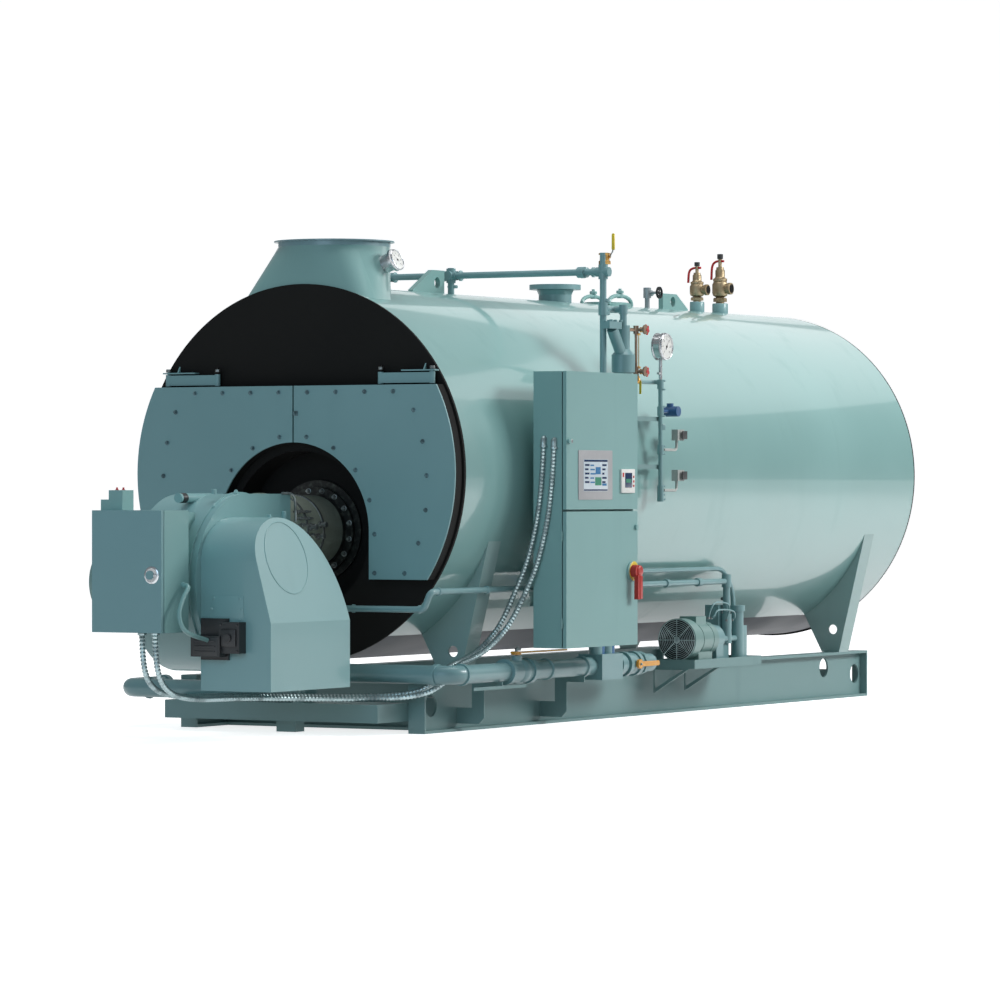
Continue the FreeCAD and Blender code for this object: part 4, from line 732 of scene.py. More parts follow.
# %% [markdown]
# The cabinet door carries a touch screen in a pale bezel, a small controller below it to the right, and a
# turn latch. The screens show plain blocks and bars, with no words, as a switched-on panel does from afar.

# %% Cabinet screens
cabinet_face = -1.437


def on_door(back, up, out=0.0):
    """A point on the cabinet's front, a little way out from it."""
    spot = place(back, 0, up)
    return Vector((spot.x, cabinet_face - out, spot.z))


def panel(part, back, up, out, thickness, rounding=0.001):
    """A flat panel on the cabinet between two (low, high) ranges, given in millimetres."""
    low = on_door(back[0], up[0], out + thickness)
    high = on_door(back[1], up[1], out)
    return part.block(low, high, rounding)


bezel_plastic = moulded("bezel_plastic", colour(172, 172, 174), 0.4)
screen_dark = moulded("screen_dark", colour(26, 52, 92), 0.15, 0.0)
screen_pale = moulded("screen_pale", colour(214, 226, 234), 0.2, 0.0)
screen_blue = moulded("screen_blue", colour(60, 126, 178), 0.2, 0.0)
screen_green = moulded("screen_green", colour(70, 150, 120), 0.2, 0.0)
fit(panel(Part(), (855, 1284), (1400, 1702), 0.0002, 0.004, 0.0015), "screen_bezel", bezel_plastic,
    "upper_door")
fit(panel(Part(), (916, 1222), (1452, 1648), 0.0042, 0.0012, 0.0004), "screen_glass", screen_pale,
    "upper_door")
bars, blocks, greens = Part(), Part(), Part()
panel(bars, (920, 1218), (1632, 1645), 0.0054, 0.0004, 0)
panel(bars, (920, 1218), (1455, 1464), 0.0054, 0.0004, 0)
for row in range(5):
    up = 1606 - row * 26
    panel(bars, (932, 988 - (row % 2) * 12), (up, up + 12), 0.0054, 0.0004, 0)
    panel(blocks, (1000, 1046 + (row % 3) * 10), (up, up + 9), 0.0054, 0.0004, 0)
    panel(bars, (1150, 1206 - (row % 3) * 14), (up, up + 12), 0.0054, 0.0004, 0)
panel(greens, (1060, 1140), (1488, 1538), 0.0054, 0.0004, 0)
panel(blocks, (1066, 1130), (1556, 1600), 0.0054, 0.0004, 0)
panel(blocks, (1150, 1206), (1486, 1500), 0.0054, 0.0004, 0)
fit(bars, "screen_bars", screen_dark, "upper_door")
fit(blocks, "screen_blocks", screen_blue, "upper_door")
fit(greens, "screen_picture", screen_green, "upper_door")
print("large screen fitted")

# %% Small controller and latch
small = Part()
panel(small, (1388, 1563), (1441, 1589), 0.0002, 0.012, 0.004)
fit(small, "controller_case", white_face, "upper_door")
fit(panel(Part(), (1432, 1522), (1474, 1566), 0.0122, 0.0012, 0.0006), "controller_screen", screen_dark,
    "upper_door")
keys = Part()
for row in range(3):
    panel(keys, (1536, 1550), (1478 + row * 28, 1492 + row * 28), 0.0122, 0.0025, 0.001)
panel(keys, (1400, 1418), (1540, 1566), 0.0122, 0.0015, 0.0005)
fit(keys, "controller_keys", red_enamel, "upper_door")
readout = panel(Part(), (1444, 1508), (1505, 1528), 0.0134, 0.0004, 0)
fit(readout, "controller_readout", screen_green, "upper_door")
latch = Part()
latch_spot = on_door(755, 1756, 0.014)
latch.turned([(0.012, 0), (0.012, 0.001), (0.010, 0.0025), (0.004, 0.0028)], latch_spot, (0, -1, 0), 28)
latch.block(latch_spot + Vector((-0.002, -0.0045, -0.008)), latch_spot + Vector((0.002, -0.0015, 0.008)),
            0.0008)
fit(latch, "cabinet_latch_key", dull_steel, "upper_door")
print("controller and latch fitted")

# %% [markdown]
# The main switch turns with a red handle over a yellow disc. The disc stays on the door, and the handle is
# its own CAD part, so it gets only a grip line and a hub cap.

# %% Main switch disc
switch_centre = on_door(1557, 957)
disc = Part()
disc.turned([(0.0605, 0.0), (0.0605, 0.0082), (0.057, 0.0105), (0.041, 0.0108), (0.041, 0.0084)],
            switch_centre, (0, -1, 0), 56)
fit(disc, "switch_disc", yellow_grip, "lower_door")
hub = Part()
hub.turned([(0.034, 0), (0.034, 0.003), (0.030, 0.006), (0.012, 0.0075)],
           switch_centre + Vector((0, -0.0505, 0)), (0, -1, 0), 40)
hub.block(switch_centre + Vector((-0.016, -0.061, -0.172)),
          switch_centre + Vector((0.016, -0.0582, -0.03)), 0.0012)
fit(hub, "switch_hub_cap", red_handle, "disconnect")
print("main switch disc fitted")

# %% [markdown]
# Two steel hoses carry the burner's cables. A flexible steel hose is a strip wound into a spiral, so its
# radius rises and falls every few millimetres. The route is a smooth spline through the same points the
# CAD hose bends round, and rings of two sizes are carried along it.

# %% Burner hoses
inner_hose = [
    (700, -1283, 1735), (700, -1270, 1400), (684, -1186, 1034), (660, -1113, 851), (595, -1040, 628),
    (439, -990, 492), (275, -960, 430), (130, -952, 405), (40, -932, 320), (-60, -850, 245),
    (-260, -620, 225), (-500, -220, 232), (-900, -15, 246), (-1330, 5, 250), (-1600, 10, 300),
    (-1720, 4, 440), (-1720, 4, 641),
]
outer_hose = [
    (700, -1355, 1725), (700, -1340, 1400), (690, -1258, 1034), (668, -1184, 851), (602, -1105, 640),
    (445, -1058, 510), (285, -1012, 436), (146, -1000, 405), (62, -982, 318), (-80, -905, 232),
    (-300, -690, 215), (-540, -300, 222), (-930, -95, 234), (-1340, -80, 238), (-1600, -82, 290),
    (-1720, -86, 440), (-1720, -86, 641),
]


def spline_points(name, route):
    """Even points along a smooth spline that has the route as its control points."""
    data = bpy.data.curves.new(name, "CURVE")
    data.dimensions = "3D"
    spline = data.splines.new("NURBS")
    spline.points.add(len(route) - 1)
    for point, spot in zip(spline.points, route):
        point.co = (*place(*spot), 1)
    spline.order_u = 3
    spline.use_endpoint_u = True
    spline.resolution_u = 24
    holder = bpy.data.objects.new(name, data)
    mesh = bpy.data.meshes.new_from_object(holder)
    rough = [vert.co.copy() for vert in mesh.vertices]
    bpy.data.objects.remove(holder)
    bpy.data.meshes.remove(mesh)
    even, carried, step = [rough[0]], 0.0, 0.0055
    for first, last in zip(rough, rough[1:]):
        length = (last - first).length
        spot = step - carried
        while spot <= length and length > 0:
            even.append(first.lerp(last, spot / length))
            spot += step
        carried = (carried + length) % step
    return even


hoses = Part()
for name, route in (("inner", inner_hose), ("outer", outer_hose)):
    line = spline_points(f"{name}_hose_line", route)
    hoses.bent(0.0165, line, 12, ripple=lambda far: 0.0160 + 0.0022 * math.sin(2 * math.pi * far / 0.022))
    top = line[0]
    wall = place(729, 0, 0).x
    corner = [top + Vector((0, 0, -0.004)), top + Vector((0, 0, 0.02)), top + Vector((0.006, 0, 0.034)),
              top + Vector((0.022, 0, 0.04)), Vector((wall, top.y, top.z + 0.04))]
    hoses.bent(0.019, smooth_path(corner, 6), 20)
    hoses.turned([(0.0235, 0), (0.0235, 0.012), (0.020, 0.014)], top + Vector((0, 0, -0.016)), (0, 0, 1), 28)
    hoses.nut(0.046, 0.009, Vector((wall, top.y, top.z + 0.04)), (-1, 0, 0))
    hoses.nut(0.046, 0.012, line[-1] + Vector((0, 0, -0.012)), (0, 0, 1))
fit(hoses, "burner_cable_hoses", hose_metal, replaces=["cable_conduits"])
print("hoses wound")

# %% [markdown]
# A dial is read through glass: a bezel, a white face with a ring of ticks, plain numbers, a black needle on
# a hub. Both the boiler's gauge and the flue thermometer are made by one function at their own sizes.

# %% Dials
needle_black = moulded("needle_black", colour(16, 16, 18), 0.5, 0.0)


def dial(name, centre, out, radius, turn_to):
    """A dial face with its bezel, ticks, numbers and needle, facing along out."""
    out = Vector(out).normalized()
    across = Vector((0, 0, 1)).cross(out).normalized()
    up = out.cross(across)
    centre = Vector(centre)
    face = Part().turned([(radius * 0.9, 0), (radius * 0.9, 0.0006)], centre, out, 64)
    fit(face, f"{name}_face", white_face)
    bezel = Part()
    bezel.ring(radius * 0.95, radius * 0.065, centre + out * 0.001, out, 72)
    fit(bezel, f"{name}_bezel", polished)
    marks = Part()
    for step in range(31):
        angle = math.radians(225 - 270 * step / 30)
        spoke = across * math.cos(angle) + up * math.sin(angle)
        side = across * -math.sin(angle) + up * math.cos(angle)
        long = step % 5 == 0
        low, high = radius * (0.68 if long else 0.75), radius * 0.83
        half = radius * (0.016 if long else 0.008)
        spot = centre + out * 0.0008
        corners = [spot + spoke * low - side * half, spot + spoke * high - side * half,
                   spot + spoke * high + side * half, spot + spoke * low + side * half]
        marks.mesh.faces.new([marks.mesh.verts.new(corner) for corner in corners])
    angle = math.radians(turn_to)
    spoke = across * math.cos(angle) + up * math.sin(angle)
    side = across * -math.sin(angle) + up * math.cos(angle)
    lift = centre + out * 0.003
    needle = [lift - spoke * radius * 0.25 - side * radius * 0.03, lift + spoke * radius * 0.72,
              lift - spoke * radius * 0.25 + side * radius * 0.03]
    marks.mesh.faces.new([marks.mesh.verts.new(corner) for corner in needle])
    marks.turned([(radius * 0.09, 0), (radius * 0.09, 0.003), (radius * 0.05, 0.005)],
                 centre + out * 0.001, out, 24)
    fit(marks, f"{name}_marks", needle_black)
    for step in range(7):
        angle = math.radians(225 - 270 * step / 6)
        words = bpy.data.curves.new(f"{name}_number_{step}", "FONT")
        words.body = str(step * 5)
        words.size = radius * 0.2
        words.align_x = "CENTER"
        words.align_y = "CENTER"
        words.materials.append(needle_black)
        number = bpy.data.objects.new(f"{name}_number_{step}", words)
        spoke = across * math.cos(angle) + up * math.sin(angle)
        turn = Matrix((across, up, out)).transposed().to_4x4()
        number.matrix_world = Matrix.Translation(centre + out * 0.001 + spoke * radius * 0.56) @ turn
        bpy.context.scene.collection.objects.link(number)
        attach(number, "boiler")


gauge_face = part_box("pressure_gauge")[0].y
gauge_x = place(2328, 0, 0).x
dial("pressure_dial", (gauge_x, gauge_face + 0.0003, 2.372), (0, -1, 0), 0.084, 60)
rise, run = 2.948 - 2.612, 0.465 - 0.345
slope = math.atan2(run, rise)
flue_out = Vector((0, -math.cos(slope), math.sin(slope)))
flue_z = 2.835
flue_spot = Vector((place(350, 0, 0).x, -0.465 + (flue_z - 2.612) / rise * run, flue_z)) + flue_out * 0.0784
dial("flue_dial", flue_spot, flue_out, 0.066, 140)
print("dials fitted")

# %% [markdown]
# Handwheels on the gauge valves are small, red and six-lobed. A lobed wheel is a profile whose radius waves
# round its rim, given a thickness and a hub.

# %% Lobed handwheels and levers
def lobed_wheel(part, centre, out, radius, lobes=6, thickness=0.009):
    """A small lobed handwheel with a hub."""
    out = Vector(out).normalized()
    across = out.orthogonal().normalized()
    up = out.cross(across)
    outline = []
    for step in range(72):
        angle = 2 * math.pi * step / 72
        reach = radius * (0.88 + 0.12 * math.cos(lobes * angle))
        outline.append((reach * math.cos(angle), reach * math.sin(angle)))
    part.plate(outline, thickness, Vector(centre), across, up)
    part.turned([(radius * 0.4, -0.004), (radius * 0.4, thickness + 0.004),
                 (radius * 0.2, thickness + 0.006)], centre, out, 20)
    return part


glass_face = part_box("gauge_glass")[0].y
glass_y = -1.225
wheels = Part()
glass_x = place(2010, 0, 0).x
for up in (2.470, 2.206):
    lobed_wheel(wheels, (glass_x, glass_face + 0.011, up), (0, -1, 0), 0.034)
fit(wheels, "gauge_valve_wheels", red_enamel)
guards = Part()
for up in (2.470, 2.206):
    guards.nut(0.034, 0.014, (glass_x, glass_y, up - (0.034 if up > 2.3 else -0.020)), (0, 0, 1))
    guards.nut(0.032, 0.012, (glass_x, -1.246, up), (0, -1, 0))
for side in (-0.016, 0.016):
    guards.bar(0.003, (glass_x + side, glass_y, 2.235), (glass_x + side, glass_y, 2.443), 10)
fit(guards, "gauge_glass_guards", brass)
drain = Part()
drain.bar(0.012, (glass_x, glass_y, 2.18), (glass_x, glass_y, 2.13), 20)
drain.turned([(0.015, 0), (0.019, 0.008), (0.019, 0.022), (0.015, 0.03)], (glass_x, glass_y, 2.165),
             (0, 0, -1), 20)
fit(drain, "gauge_drain_cock", brass)
drain_handle = Part().block((glass_x, -1.252, 2.065), (glass_x + 0.004, -1.236, 2.15), 0.0015)
fit(drain_handle, "gauge_drain_handle", yellow_grip)
print("gauge valves fitted")

# %% [markdown]
# At the top of the column pipe is a small brass ball valve with an upright yellow handle. The column itself
# is a casting: it has a bolted square flange, and collars where pipes screw in.

# %% Column top valve and flanges
pipe_x = place(1790, 0, 0).x
pipe_y = -1.109
top_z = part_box("column_pipes")[1].z
top_cock = Part()
top_cock.nut(0.066, 0.024, (pipe_x, pipe_y, top_z - 0.072), (0, 0, 1))
top_cock.bar(0.0308, (pipe_x, pipe_y, top_z - 0.060), (pipe_x, pipe_y, top_z + 0.0003), 36)
top_cock.turned([(0.0215, 0), (0.026, 0.006), (0.026, 0.022), (0.0215, 0.028)],
                (pipe_x, pipe_y, top_z - 0.040), (0, 0, 1), 28)
top_cock.nut(0.066, 0.012, (pipe_x, pipe_y, top_z - 0.0125), (0, 0, 1))
top_cock.bar(0.007, (pipe_x, -1.12, top_z - 0.026), (pipe_x, -1.145, top_z - 0.026), 14)
top_cock.nut(0.018, 0.006, (pipe_x, -1.145, top_z - 0.026), (0, -1, 0))
fit(top_cock, "column_top_cock", brass)
link = [(pipe_x, -1.148, top_z - 0.030), (pipe_x + 0.004, -1.151, top_z - 0.012),
        (pipe_x + 0.012, -1.158, top_z + 0.006), (pipe_x + 0.016, -1.162, top_z + 0.026)]
blade = Part().bent(0.0045, smooth_path(link, 6), 10)
fit(blade, "column_top_link", dull_steel)
handle = Part()
grip_low, grip_high = top_z + 0.018, top_z + 0.122
grip_long = grip_high - grip_low
handle.turned([(0.006, 0), (0.011, 0.004), (0.0105, grip_long - 0.006), (0.007, grip_long)],
              (pipe_x + 0.016, -1.162, grip_low), (0, 0, 1), 20)
fit(handle, "column_top_handle", yellow_grip)
flange_bolts = Part()
for back in (-86, -28, 38):
    for across in (-1198, -1150):
        flange_bolts.nut(0.021, 0.012, place(1790 + back + 8, across, 2515.2), (0, 0, 1))
fit(flange_bolts, "column_flange_bolts", pipe_enamel)
print("column trim fitted")

# %% [markdown]
# Screwed pipe shows its fittings: every elbow and tee ends in a thick rolled rim, and a union is a ring nut
# with flats. These collars are put where the CAD pipes turn or join.

# %% Pipe collars and unions
collars = Part()


def collar(centre, along, pipe, wide=0.02, proud=0.005):
    """A rolled rim on a pipe of the given radius."""
    along = Vector(along).normalized()
    start = Vector(centre) - along * wide / 2
    size = pipe + proud
    profile = [(pipe * 0.98, 0), (size, wide * 0.2), (size, wide * 0.8), (pipe * 0.98, wide)]
    collars.turned(profile, start, along, 36)


def union(centre, along, pipe, wide=0.036):
    """A union: a ring nut between two rims."""
    along = Vector(along).normalized()
    start = Vector(centre) - along * wide / 2
    collars.turned([(pipe * 1.45, 0), (pipe * 1.5, 0.002), (pipe * 1.5, wide - 0.002), (pipe * 1.45, wide)],
                   start, along, 8)


for up in (2.65, 2.57):
    collar((pipe_x, pipe_y, up), (0, 0, 1), 0.030, 0.024, 0.004)
for across in (-1.03, -0.98):
    collar((pipe_x, across, 2.829), (0, 1, 0), 0.021, 0.02, 0.011)
for across in (-0.06, 0.06, 0.43):
    collar((pipe_x, across, 2.829), (0, 1, 0), 0.030, 0.016, 0.004)
collar((pipe_x, 0, 2.76), (0, 0, 1), 0.030, 0.02, 0.004)
union((pipe_x, -0.955, 2.829), (0, 1, 0), 0.024)
header_x = place(2328, 0, 0).x
header_y = -1.23
for up in (2.155, 2.10, 1.99, 1.93, 1.74, 1.69, 1.485, 1.43, 1.40):
    collar((header_x, header_y, up), (0, 0, 1), 0.021, 0.012, 0.003)
union((header_x, header_y, 1.86), (0, 0, 1), 0.016)
air_y = -1.045
for back in (1950, 3200):
    collar((place(back, 0, 0).x, air_y, 0.856), (1, 0, 0), 0.019, 0.03, 0.008)
for back in (-150, 420):
    collar((place(back, 0, 0).x, air_y, 0.856), (1, 0, 0), 0.019, 0.022, 0.006)
for spot in ((-220, -960, 751), (-220, -500, 751)):
    collar(place(*spot), (0, 1, 0), 0.019, 0.02, 0.006)
gas_y, gas_z, gas_radius = -1.1, 0.358, 0.057
for back, wide in ((552, 0.03), (866, 0.03), (1050, 0.02), (1500, 0.03), (2000, 0.03)):
    collar((place(back, 0, 0).x, gas_y, gas_z), (1, 0, 0), gas_radius, wide, 0.010)
collar(place(-60, -300, 358), (0, 1, 0), gas_radius, 0.024, 0.010)
collar(place(-60, 0, 530), (0, 0, 1), gas_radius, 0.024, 0.010)
for across in (-100, 1040):
    collar(place(-120, across, 242.3), (0, 1, 0), gas_radius, 0.026, 0.010)
union((place(2262, 0, 0).x, gas_y, gas_z), (1, 0, 0), 0.05, 0.05)
fit(collars, "pipe_collars", pipe_enamel)
print("collars and unions fitted")

# %% [markdown]
# Two spring safety valves stand on the shell. The real ones are turned from bronze: a hexagon on a nipple,
# a bulbous body with a side outlet, a bonnet, a black cap and a red try-lever. They could be one lathe
# shape, but the hexagon, the outlet and the lever are what make a safety valve readable, so each is built.

# %% Safety valves
def safety_valve(number, back, radius, top):
    """One safety valve on its coupling, sized from the coupling's radius and its own top height."""
    seat = 2.779
    large_height = 0.352
    large_radius = 0.056
    scale = (top - seat) / large_height
    wide = radius / large_radius
    foot = place(back, 0, 0)
    coupling = Part()
    coupling.turned([(radius * 0.92, 0), (radius, 0.006), (radius, 0.112), (radius * 0.93, 0.118)],
                    (foot.x, 0, 2.662), (0, 0, 1), 40)
    fit(coupling, f"safety_coupling_{number}", pipe_enamel,
        replaces=["safety_valves"] if number == 1 else ())
    body = Part()
    body.nut(0.084 * wide, 0.030 * scale, (foot.x, 0, seat + 0.012 * scale), (0, 0, 1))
    profile = [(0.030, 0.0), (0.030, 0.045), (0.050, 0.056), (0.056, 0.075), (0.056, 0.135), (0.046, 0.156),
               (0.050, 0.160), (0.050, 0.176), (0.040, 0.180), (0.034, 0.190), (0.034, 0.236), (0.028, 0.240),
               (0.026, 0.258)]
    body.turned([(reach * wide, up * scale) for reach, up in profile], (foot.x, 0, seat), (0, 0, 1), 40)
    outlet = (foot.x, -0.035 * wide, seat + 0.105 * scale)
    body.turned([(0.030 * wide, 0), (0.032 * wide, 0.026), (0.042 * wide, 0.034), (0.042 * wide, 0.054),
                 (0.033 * wide, 0.056)], outlet, (0, -1, 0), 32)
    body.bar(0.013 * wide, (foot.x, 0, seat + 0.250 * scale), (foot.x, 0, seat + 0.320 * scale), 24)
    fit(body, f"safety_body_{number}", cast_bronze)
    # A black disc just inside the side outlet is painted shade for its bore.
    dark = Part().turned([(0.032 * wide, 0), (0.032 * wide, 0.001)],
                         (foot.x, outlet[1] - 0.0565, outlet[2]), (0, -1, 0), 28)
    fit(dark, f"safety_bore_shade_{number}", tunnel_paint_and_hollow_shade)
    cap = Part().turned([(0.019 * wide, 0), (0.021 * wide, 0.003), (0.021 * wide, 0.034 * scale),
                         (0.018 * wide, 0.036 * scale)], (foot.x, 0, seat + 0.315 * scale), (0, 0, 1), 32)
    fit(cap, f"safety_cap_{number}", black_plastic)
    lever = Part()
    high = seat + 0.300 * scale
    line = [(foot.x, -0.030, high), (foot.x, 0.030, high - 0.002), (foot.x, 0.062, high - 0.035 * scale),
            (foot.x, 0.070, high - 0.130 * scale)]
    lever.bent(0.0085, smooth_path(line, 6), 10)
    fit(lever, f"safety_lever_{number}", red_enamel)


safety_valve(1, 5165, 0.0515, 3.059)
safety_valve(2, 5517, 0.056, 3.131)
print("two safety valves")

# %% [markdown]
# The manway on top is an oval cover pulled up from inside by two arched yokes, each with one big nut. The
# plain CAD lump keeps its place and height; what is drawn is the rim, the sunk cover, the yokes and the nuts.

# %% Manway
manway_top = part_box("manway")[1].z
man_x = place(3843, 0, 0).x


def oval(along, across, steps=72):
    """Points round an ellipse."""
    turns = [2 * math.pi * step / steps for step in range(steps)]
    return [(along * math.cos(turn), across * math.sin(turn)) for turn in turns]


rim = Part()
rim.plate(oval(0.205, 0.155), 0.062, (man_x, 0, 2.660), (1, 0, 0), (0, 1, 0))
rim.plate(oval(0.186, 0.136), 0.006, (man_x, 0, 2.722), (1, 0, 0), (0, 1, 0))
fit(rim, "manway_rim", shell_enamel, replaces=["manway"])
yokes = Part()
nuts = Part()
for side in (-0.103, 0.103):
    arch = []
    for step in range(17):
        turn = math.pi * step / 16
        arch.append((-0.160 * math.cos(turn), 2.708 + 0.066 * math.sin(turn) ** 0.7))
    for first, second in zip(arch, arch[1:]):
        start, end = Vector((man_x + first[0], side, first[1])), Vector((man_x + second[0], side, second[1]))
        yokes.bar(0.014, start, end + (end - start) * 0.1, 12)
    yokes.bar(0.020, (man_x, side, 2.756), (man_x, side, 2.788), 24)
    nuts.nut(0.044, 0.020, (man_x, side, 2.789), (0, 0, 1))
    nuts.bar(0.011, (man_x, side, 2.786), (man_x, side, min(2.822, manway_top)), 16)
fit(yokes, "manway_yokes", shell_enamel)
fit(nuts, "manway_nuts", shell_enamel)
print("manway: two yokes")

# %% [markdown]
# The steam outlet is a welding-neck flange, so a cone runs from the pipe up to the underside of the flange.

# %% Steam nozzle neck
nozzle_low, nozzle_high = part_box("steam_nozzle")
nozzle_x = (nozzle_low.x + nozzle_high.x) / 2
neck = Part()
face = (nozzle_high.x - nozzle_low.x) / 2
neck.turned([(face * 0.56, 0), (face * 0.60, 0.010), (face * 0.71, 0.052), (face * 0.72, 0.056)],
            (nozzle_x, 0, nozzle_high.z - 0.092), (0, 0, 1), 56)
fit(neck, "steam_nozzle_neck", pipe_enamel)
print("steam neck at", round(nozzle_x, 3), "half width", round(face, 3))

# %% [markdown]
# On the gas train the two safety shut-off valves have actuators in cast cases with a coloured band, and the
# valve block is bolted. The main ball valve has a packing nut.

# %% Gas valve trim
bands = Part()
for back in (1710, 1840):
    bands.turned([(0.0460, 0), (0.0468, 0.002), (0.0468, 0.0725), (0.0460, 0.0745)],
                 place(back, -1100, 419.5), (0, 0, 1), 44)
fit(bands, "gas_actuator_bands", blue_case)
trim = Part()
for back in (1662, 1888):
    for up in (0.318, 0.398):
        trim.bolt(0.010, (place(back, 0, 0).x, -1.158, up), (0, -1, 0), 0.4)
for back in (1710, 1840):
    trim.nut(0.026, 0.012, (place(back, 0, 0).x, -1.158, 0.358), (0, -1, 0))
trim.nut(0.034, 0.016, place(708, -1100, 482), (0, 0, 1))
trim.bar(0.009, place(708, -1100, 484), place(708, -1100, 506), 16)
fit(trim, "gas_valve_bolts", dull_steel)
print("gas trim fitted")

# %% [markdown]
# The pump's motor is cooled by a fan behind a wire guard. The real guard is rings of wire on a few spokes in
# front of a dark hollow, so it is drawn as wires, because a printed pattern would not catch the light. The
# hollow itself is a black disc on the motor's end: painted shade.

# %% Pump motor guard
fan_spot = Vector((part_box("pump_motor")[0].x, -1.046, 0.486))
# A thin black disc on the motor's end is painted shade for the hollow behind the guard.
fan_shade = Part().turned([(0.131, 0), (0.131, 0.001)], fan_spot + Vector((-0.0003, 0, 0)), (-1, 0, 0), 56)
fit(fan_shade, "pump_guard_shade_disc", tunnel_paint_and_hollow_shade)
wires = Part()
for step in range(10):
    wires.ring(0.022 + 0.0122 * step, 0.0019, fan_spot + Vector((-0.004, 0, 0)), (1, 0, 0), 56)
for step in range(8):
    turn = math.pi * step / 4
    out = Vector((0, math.cos(turn), math.sin(turn)))
    spoke_foot = fan_spot + Vector((-0.0055, 0, 0))
    wires.bar(0.0024, spoke_foot + out * 0.02, spoke_foot + out * 0.133, 8)
wires.turned([(0.022, 0), (0.022, 0.004), (0.016, 0.006)], fan_spot + Vector((-0.001, 0, 0)), (-1, 0, 0), 28)
fit(wires, "pump_guard_wires", hose_metal)
straps = Part()
for back in (3050, 3190):
    straps.turned([(0.1125, 0), (0.1150, 0.002), (0.1150, 0.018), (0.1125, 0.020)],
                  place(back, -1046, 486), (1, 0, 0), 52)
fit(straps, "pump_motor_bands", motor_enamel)
print("pump guard: ten rings, eight wires")

# %% [markdown]
# Small tubes loop between the pump and its filter, each ending in a union nut.

# %% Pump tubing
tubes = Part()
fittings = Part()
pump_line = -1.028
for rise, start, end in ((0.02, 3300, 3560), (-0.03, 3340, 3640)):
    low = place(start, 0, 0).x
    high = place(end, 0, 0).x
    route = [(low, pump_line - 0.03, 0.62), (low, pump_line - 0.05, 0.66 + rise),
             (low + 0.05, pump_line - 0.06, 0.70 + rise), (high - 0.05, pump_line - 0.06, 0.69 + rise),
             (high, pump_line - 0.05, 0.65 + rise), (high, pump_line - 0.03, 0.60)]
    tubes.bent(0.006, smooth_path(route, 6), 10)
    fittings.nut(0.018, 0.014, (low, pump_line - 0.03, 0.612), (0, 0, 1))
    fittings.nut(0.018, 0.014, (high, pump_line - 0.03, 0.592), (0, 0, 1))
fit(tubes, "pump_tubes", pipe_enamel)
tall_x = place(3605, 0, 0).x
for up in (0.62, 0.73):
    fittings.nut(0.056, 0.020, (tall_x, pump_line, up), (0, 0, 1))
fit(fittings, "pump_tube_nuts", dull_steel)
print("pump tubing fitted")

# %% [markdown]
# The control boxes on the header have dark windows. Three thin oval covers are meant for the hand holes low
# on the shell. Their radius comes from the jacket's height, which is less than the shell's, so they lie 130
# to 157 mm under its surface and do not show.

# %% Hand holes and control windows
jacket_low, jacket_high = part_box("jacket")
cover_middle = (jacket_low.z + jacket_high.z) / 2
cover_radius = (jacket_high.z - jacket_low.z) / 2
cover_places = ((3850, 1.073, 0.036, 0.030), (4817, 0.768, 0.080, 0.060), (3609, 0.757, 0.080, 0.060))
covers = Part()
for back, up, long, tall in cover_places:
    drop = up - cover_middle
    side = -math.sqrt(cover_radius ** 2 - drop ** 2)
    out = Vector((0, side, drop)).normalized()
    spot = Vector((place(back, 0, 0).x, side, up)) + out * 0.0005
    covers.plate(oval(long, tall, 40), 0.006, spot, (1, 0, 0), out.cross(Vector((1, 0, 0))))
fit(covers, "shell_hand_holes", rubber)
windows = Part()
window_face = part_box("header_instruments")[0].y
for up in (1.811, 1.553):
    windows.block((place(2492, 0, 0).x, window_face - 0.0015, up - 0.026),
                  (place(2556, 0, 0).x, window_face + 0.004, up + 0.026), 0.001)
fit(windows, "control_windows", black_plastic)
print("hand holes and windows; radius used", round(cover_radius, 3))

# %% [markdown]
# The boiler stands on a plain white floor with a plain white wall far behind it, as in a catalogue. The two
# glow a little by themselves, so that they stay white where the lamps don't reach.

# %% Floor and wall
def sheet(name, corners):
    """One flat white sheet that isn't part of the boiler."""
    mesh = bpy.data.meshes.new(name)
    mesh.from_pydata([tuple(corner) for corner in corners], [], [(0, 1, 2, 3)])
    made = bpy.data.objects.new(name, mesh)
    bpy.context.scene.collection.objects.link(made)
    mesh.materials.append(studio_white)
    made.visible_diffuse = False
    return made


view_angle = math.radians(29.97)
away = Vector((math.cos(view_angle), math.sin(view_angle), 0))
across = Vector((away.y, -away.x, 0))
white = Finish("studio_white")
marks = white.mask(white.noise(0.8, 4), 0.3, 0.8)
white.set(Base_Color=white.mix(marks, (0.93, 0.93, 0.93, 1), (0.91, 0.91, 0.91, 1)),
          Roughness=0.8 + marks * 0.05)
white.shader.inputs["Emission Color"].default_value = (1, 1, 1, 1)
white.shader.inputs["Emission Strength"].default_value = 0.75
studio_white = white.material
sheet("studio_floor", [away * out + across * side
                       for out, side in ((-70, -60), (-70, 60), (50, 60), (50, -60))])
sheet("studio_wall", [away * 50 + across * side + Vector((0, 0, up))
                      for side, up in ((-20, -1), (20, -1), (20, 16), (-20, 16))])
print("floor and wall placed")

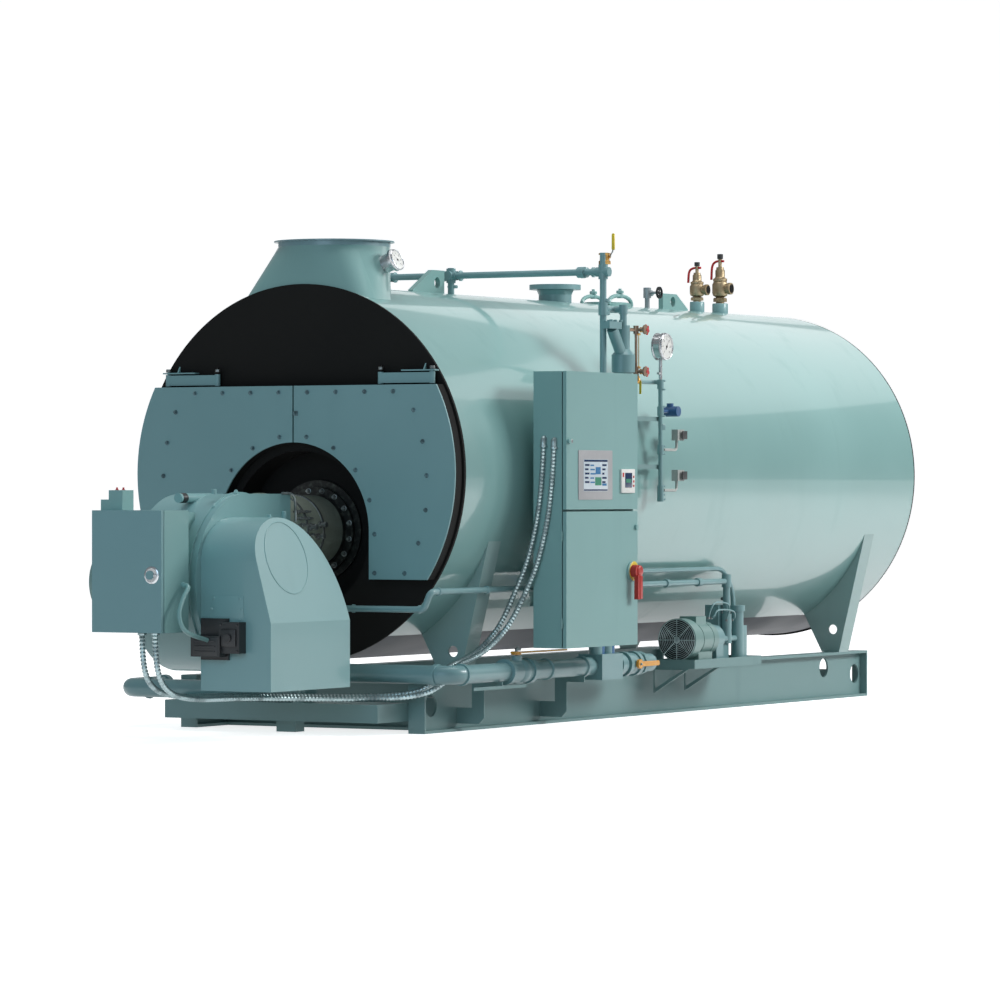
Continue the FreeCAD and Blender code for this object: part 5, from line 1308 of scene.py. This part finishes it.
# %% [markdown]
# Enamel shows what surrounds it, so the lights matter as much as the paint. A high panel beyond the rear end
# puts the broad bright band along the shell. The main light comes from the cabinet side, a little from
# behind, so the doors and the burner's front stay in cool shade with only a weak bluish fill.

# %% Studio light
def light(name, location, target, width, height, power, tint=(1, 1, 1)):
    """A rectangular soft light that faces a point."""
    data = bpy.data.lights.new(name, "AREA")
    data.shape = "RECTANGLE"
    data.size = width
    data.size_y = height
    data.energy = power
    data.color = tint
    made = bpy.data.objects.new(name, data)
    made.location = location
    aim = Vector(target) - Vector(location)
    made.rotation_mode = "QUATERNION"
    made.rotation_quaternion = aim.to_track_quat("-Z", "Y")
    bpy.context.scene.collection.objects.link(made)
    return made


light("main_panel", (7, -13, 8.5), (0.3, -0.8, 1.3), 7, 4, 1750)
light("rear_panel", (16, -1, 9.6), (0, -1, 2.2), 15, 4.5, 210)
light("overhead_panel", (-1, -1, 12), (0, 0, 1.5), 9, 6, 620)
light("front_fill", (-14, -2, 4), (-3, 0, 1.2), 6, 5, 240, (0.56, 0.80, 1.0))
world = bpy.data.worlds.new("studio_air")
bpy.context.scene.world = world
world.use_nodes = True
world.node_tree.nodes["Background"].inputs["Color"].default_value = (0.90, 0.96, 1.0, 1)
world.node_tree.nodes["Background"].inputs["Strength"].default_value = 0.28
bpy.context.scene.view_settings.view_transform = "Standard"

# %% [markdown]
# A long lens from far off shows a large machine without stretching it. The camera stands level, a little
# above the burner's middle, out past the cabinet's corner.

# %% Camera
camera_data = bpy.data.cameras.new("camera")
camera_data.lens = 170.35
camera_data.sensor_width = 36
camera_data.shift_y = -0.0099
camera_data.clip_end = 300
camera = bpy.data.objects.new("camera", camera_data)
camera.location = place(-24288, -15388, 1459)
camera.rotation_mode = "QUATERNION"
camera.rotation_quaternion = away.to_track_quat("-Z", "Y")
bpy.context.scene.collection.objects.link(camera)
bpy.context.scene.camera = camera
print("camera", round((camera.location - place(0, 0, 1560)).length, 1), "m from the front plate")

# %% [markdown]
# Last, the number of fitted parts is printed. At most 3 mm of what is added here stands outside the CAD
# box, and only to the sides.

# %% Print the number of fitted parts
print("fitted parts:", len(fitted))
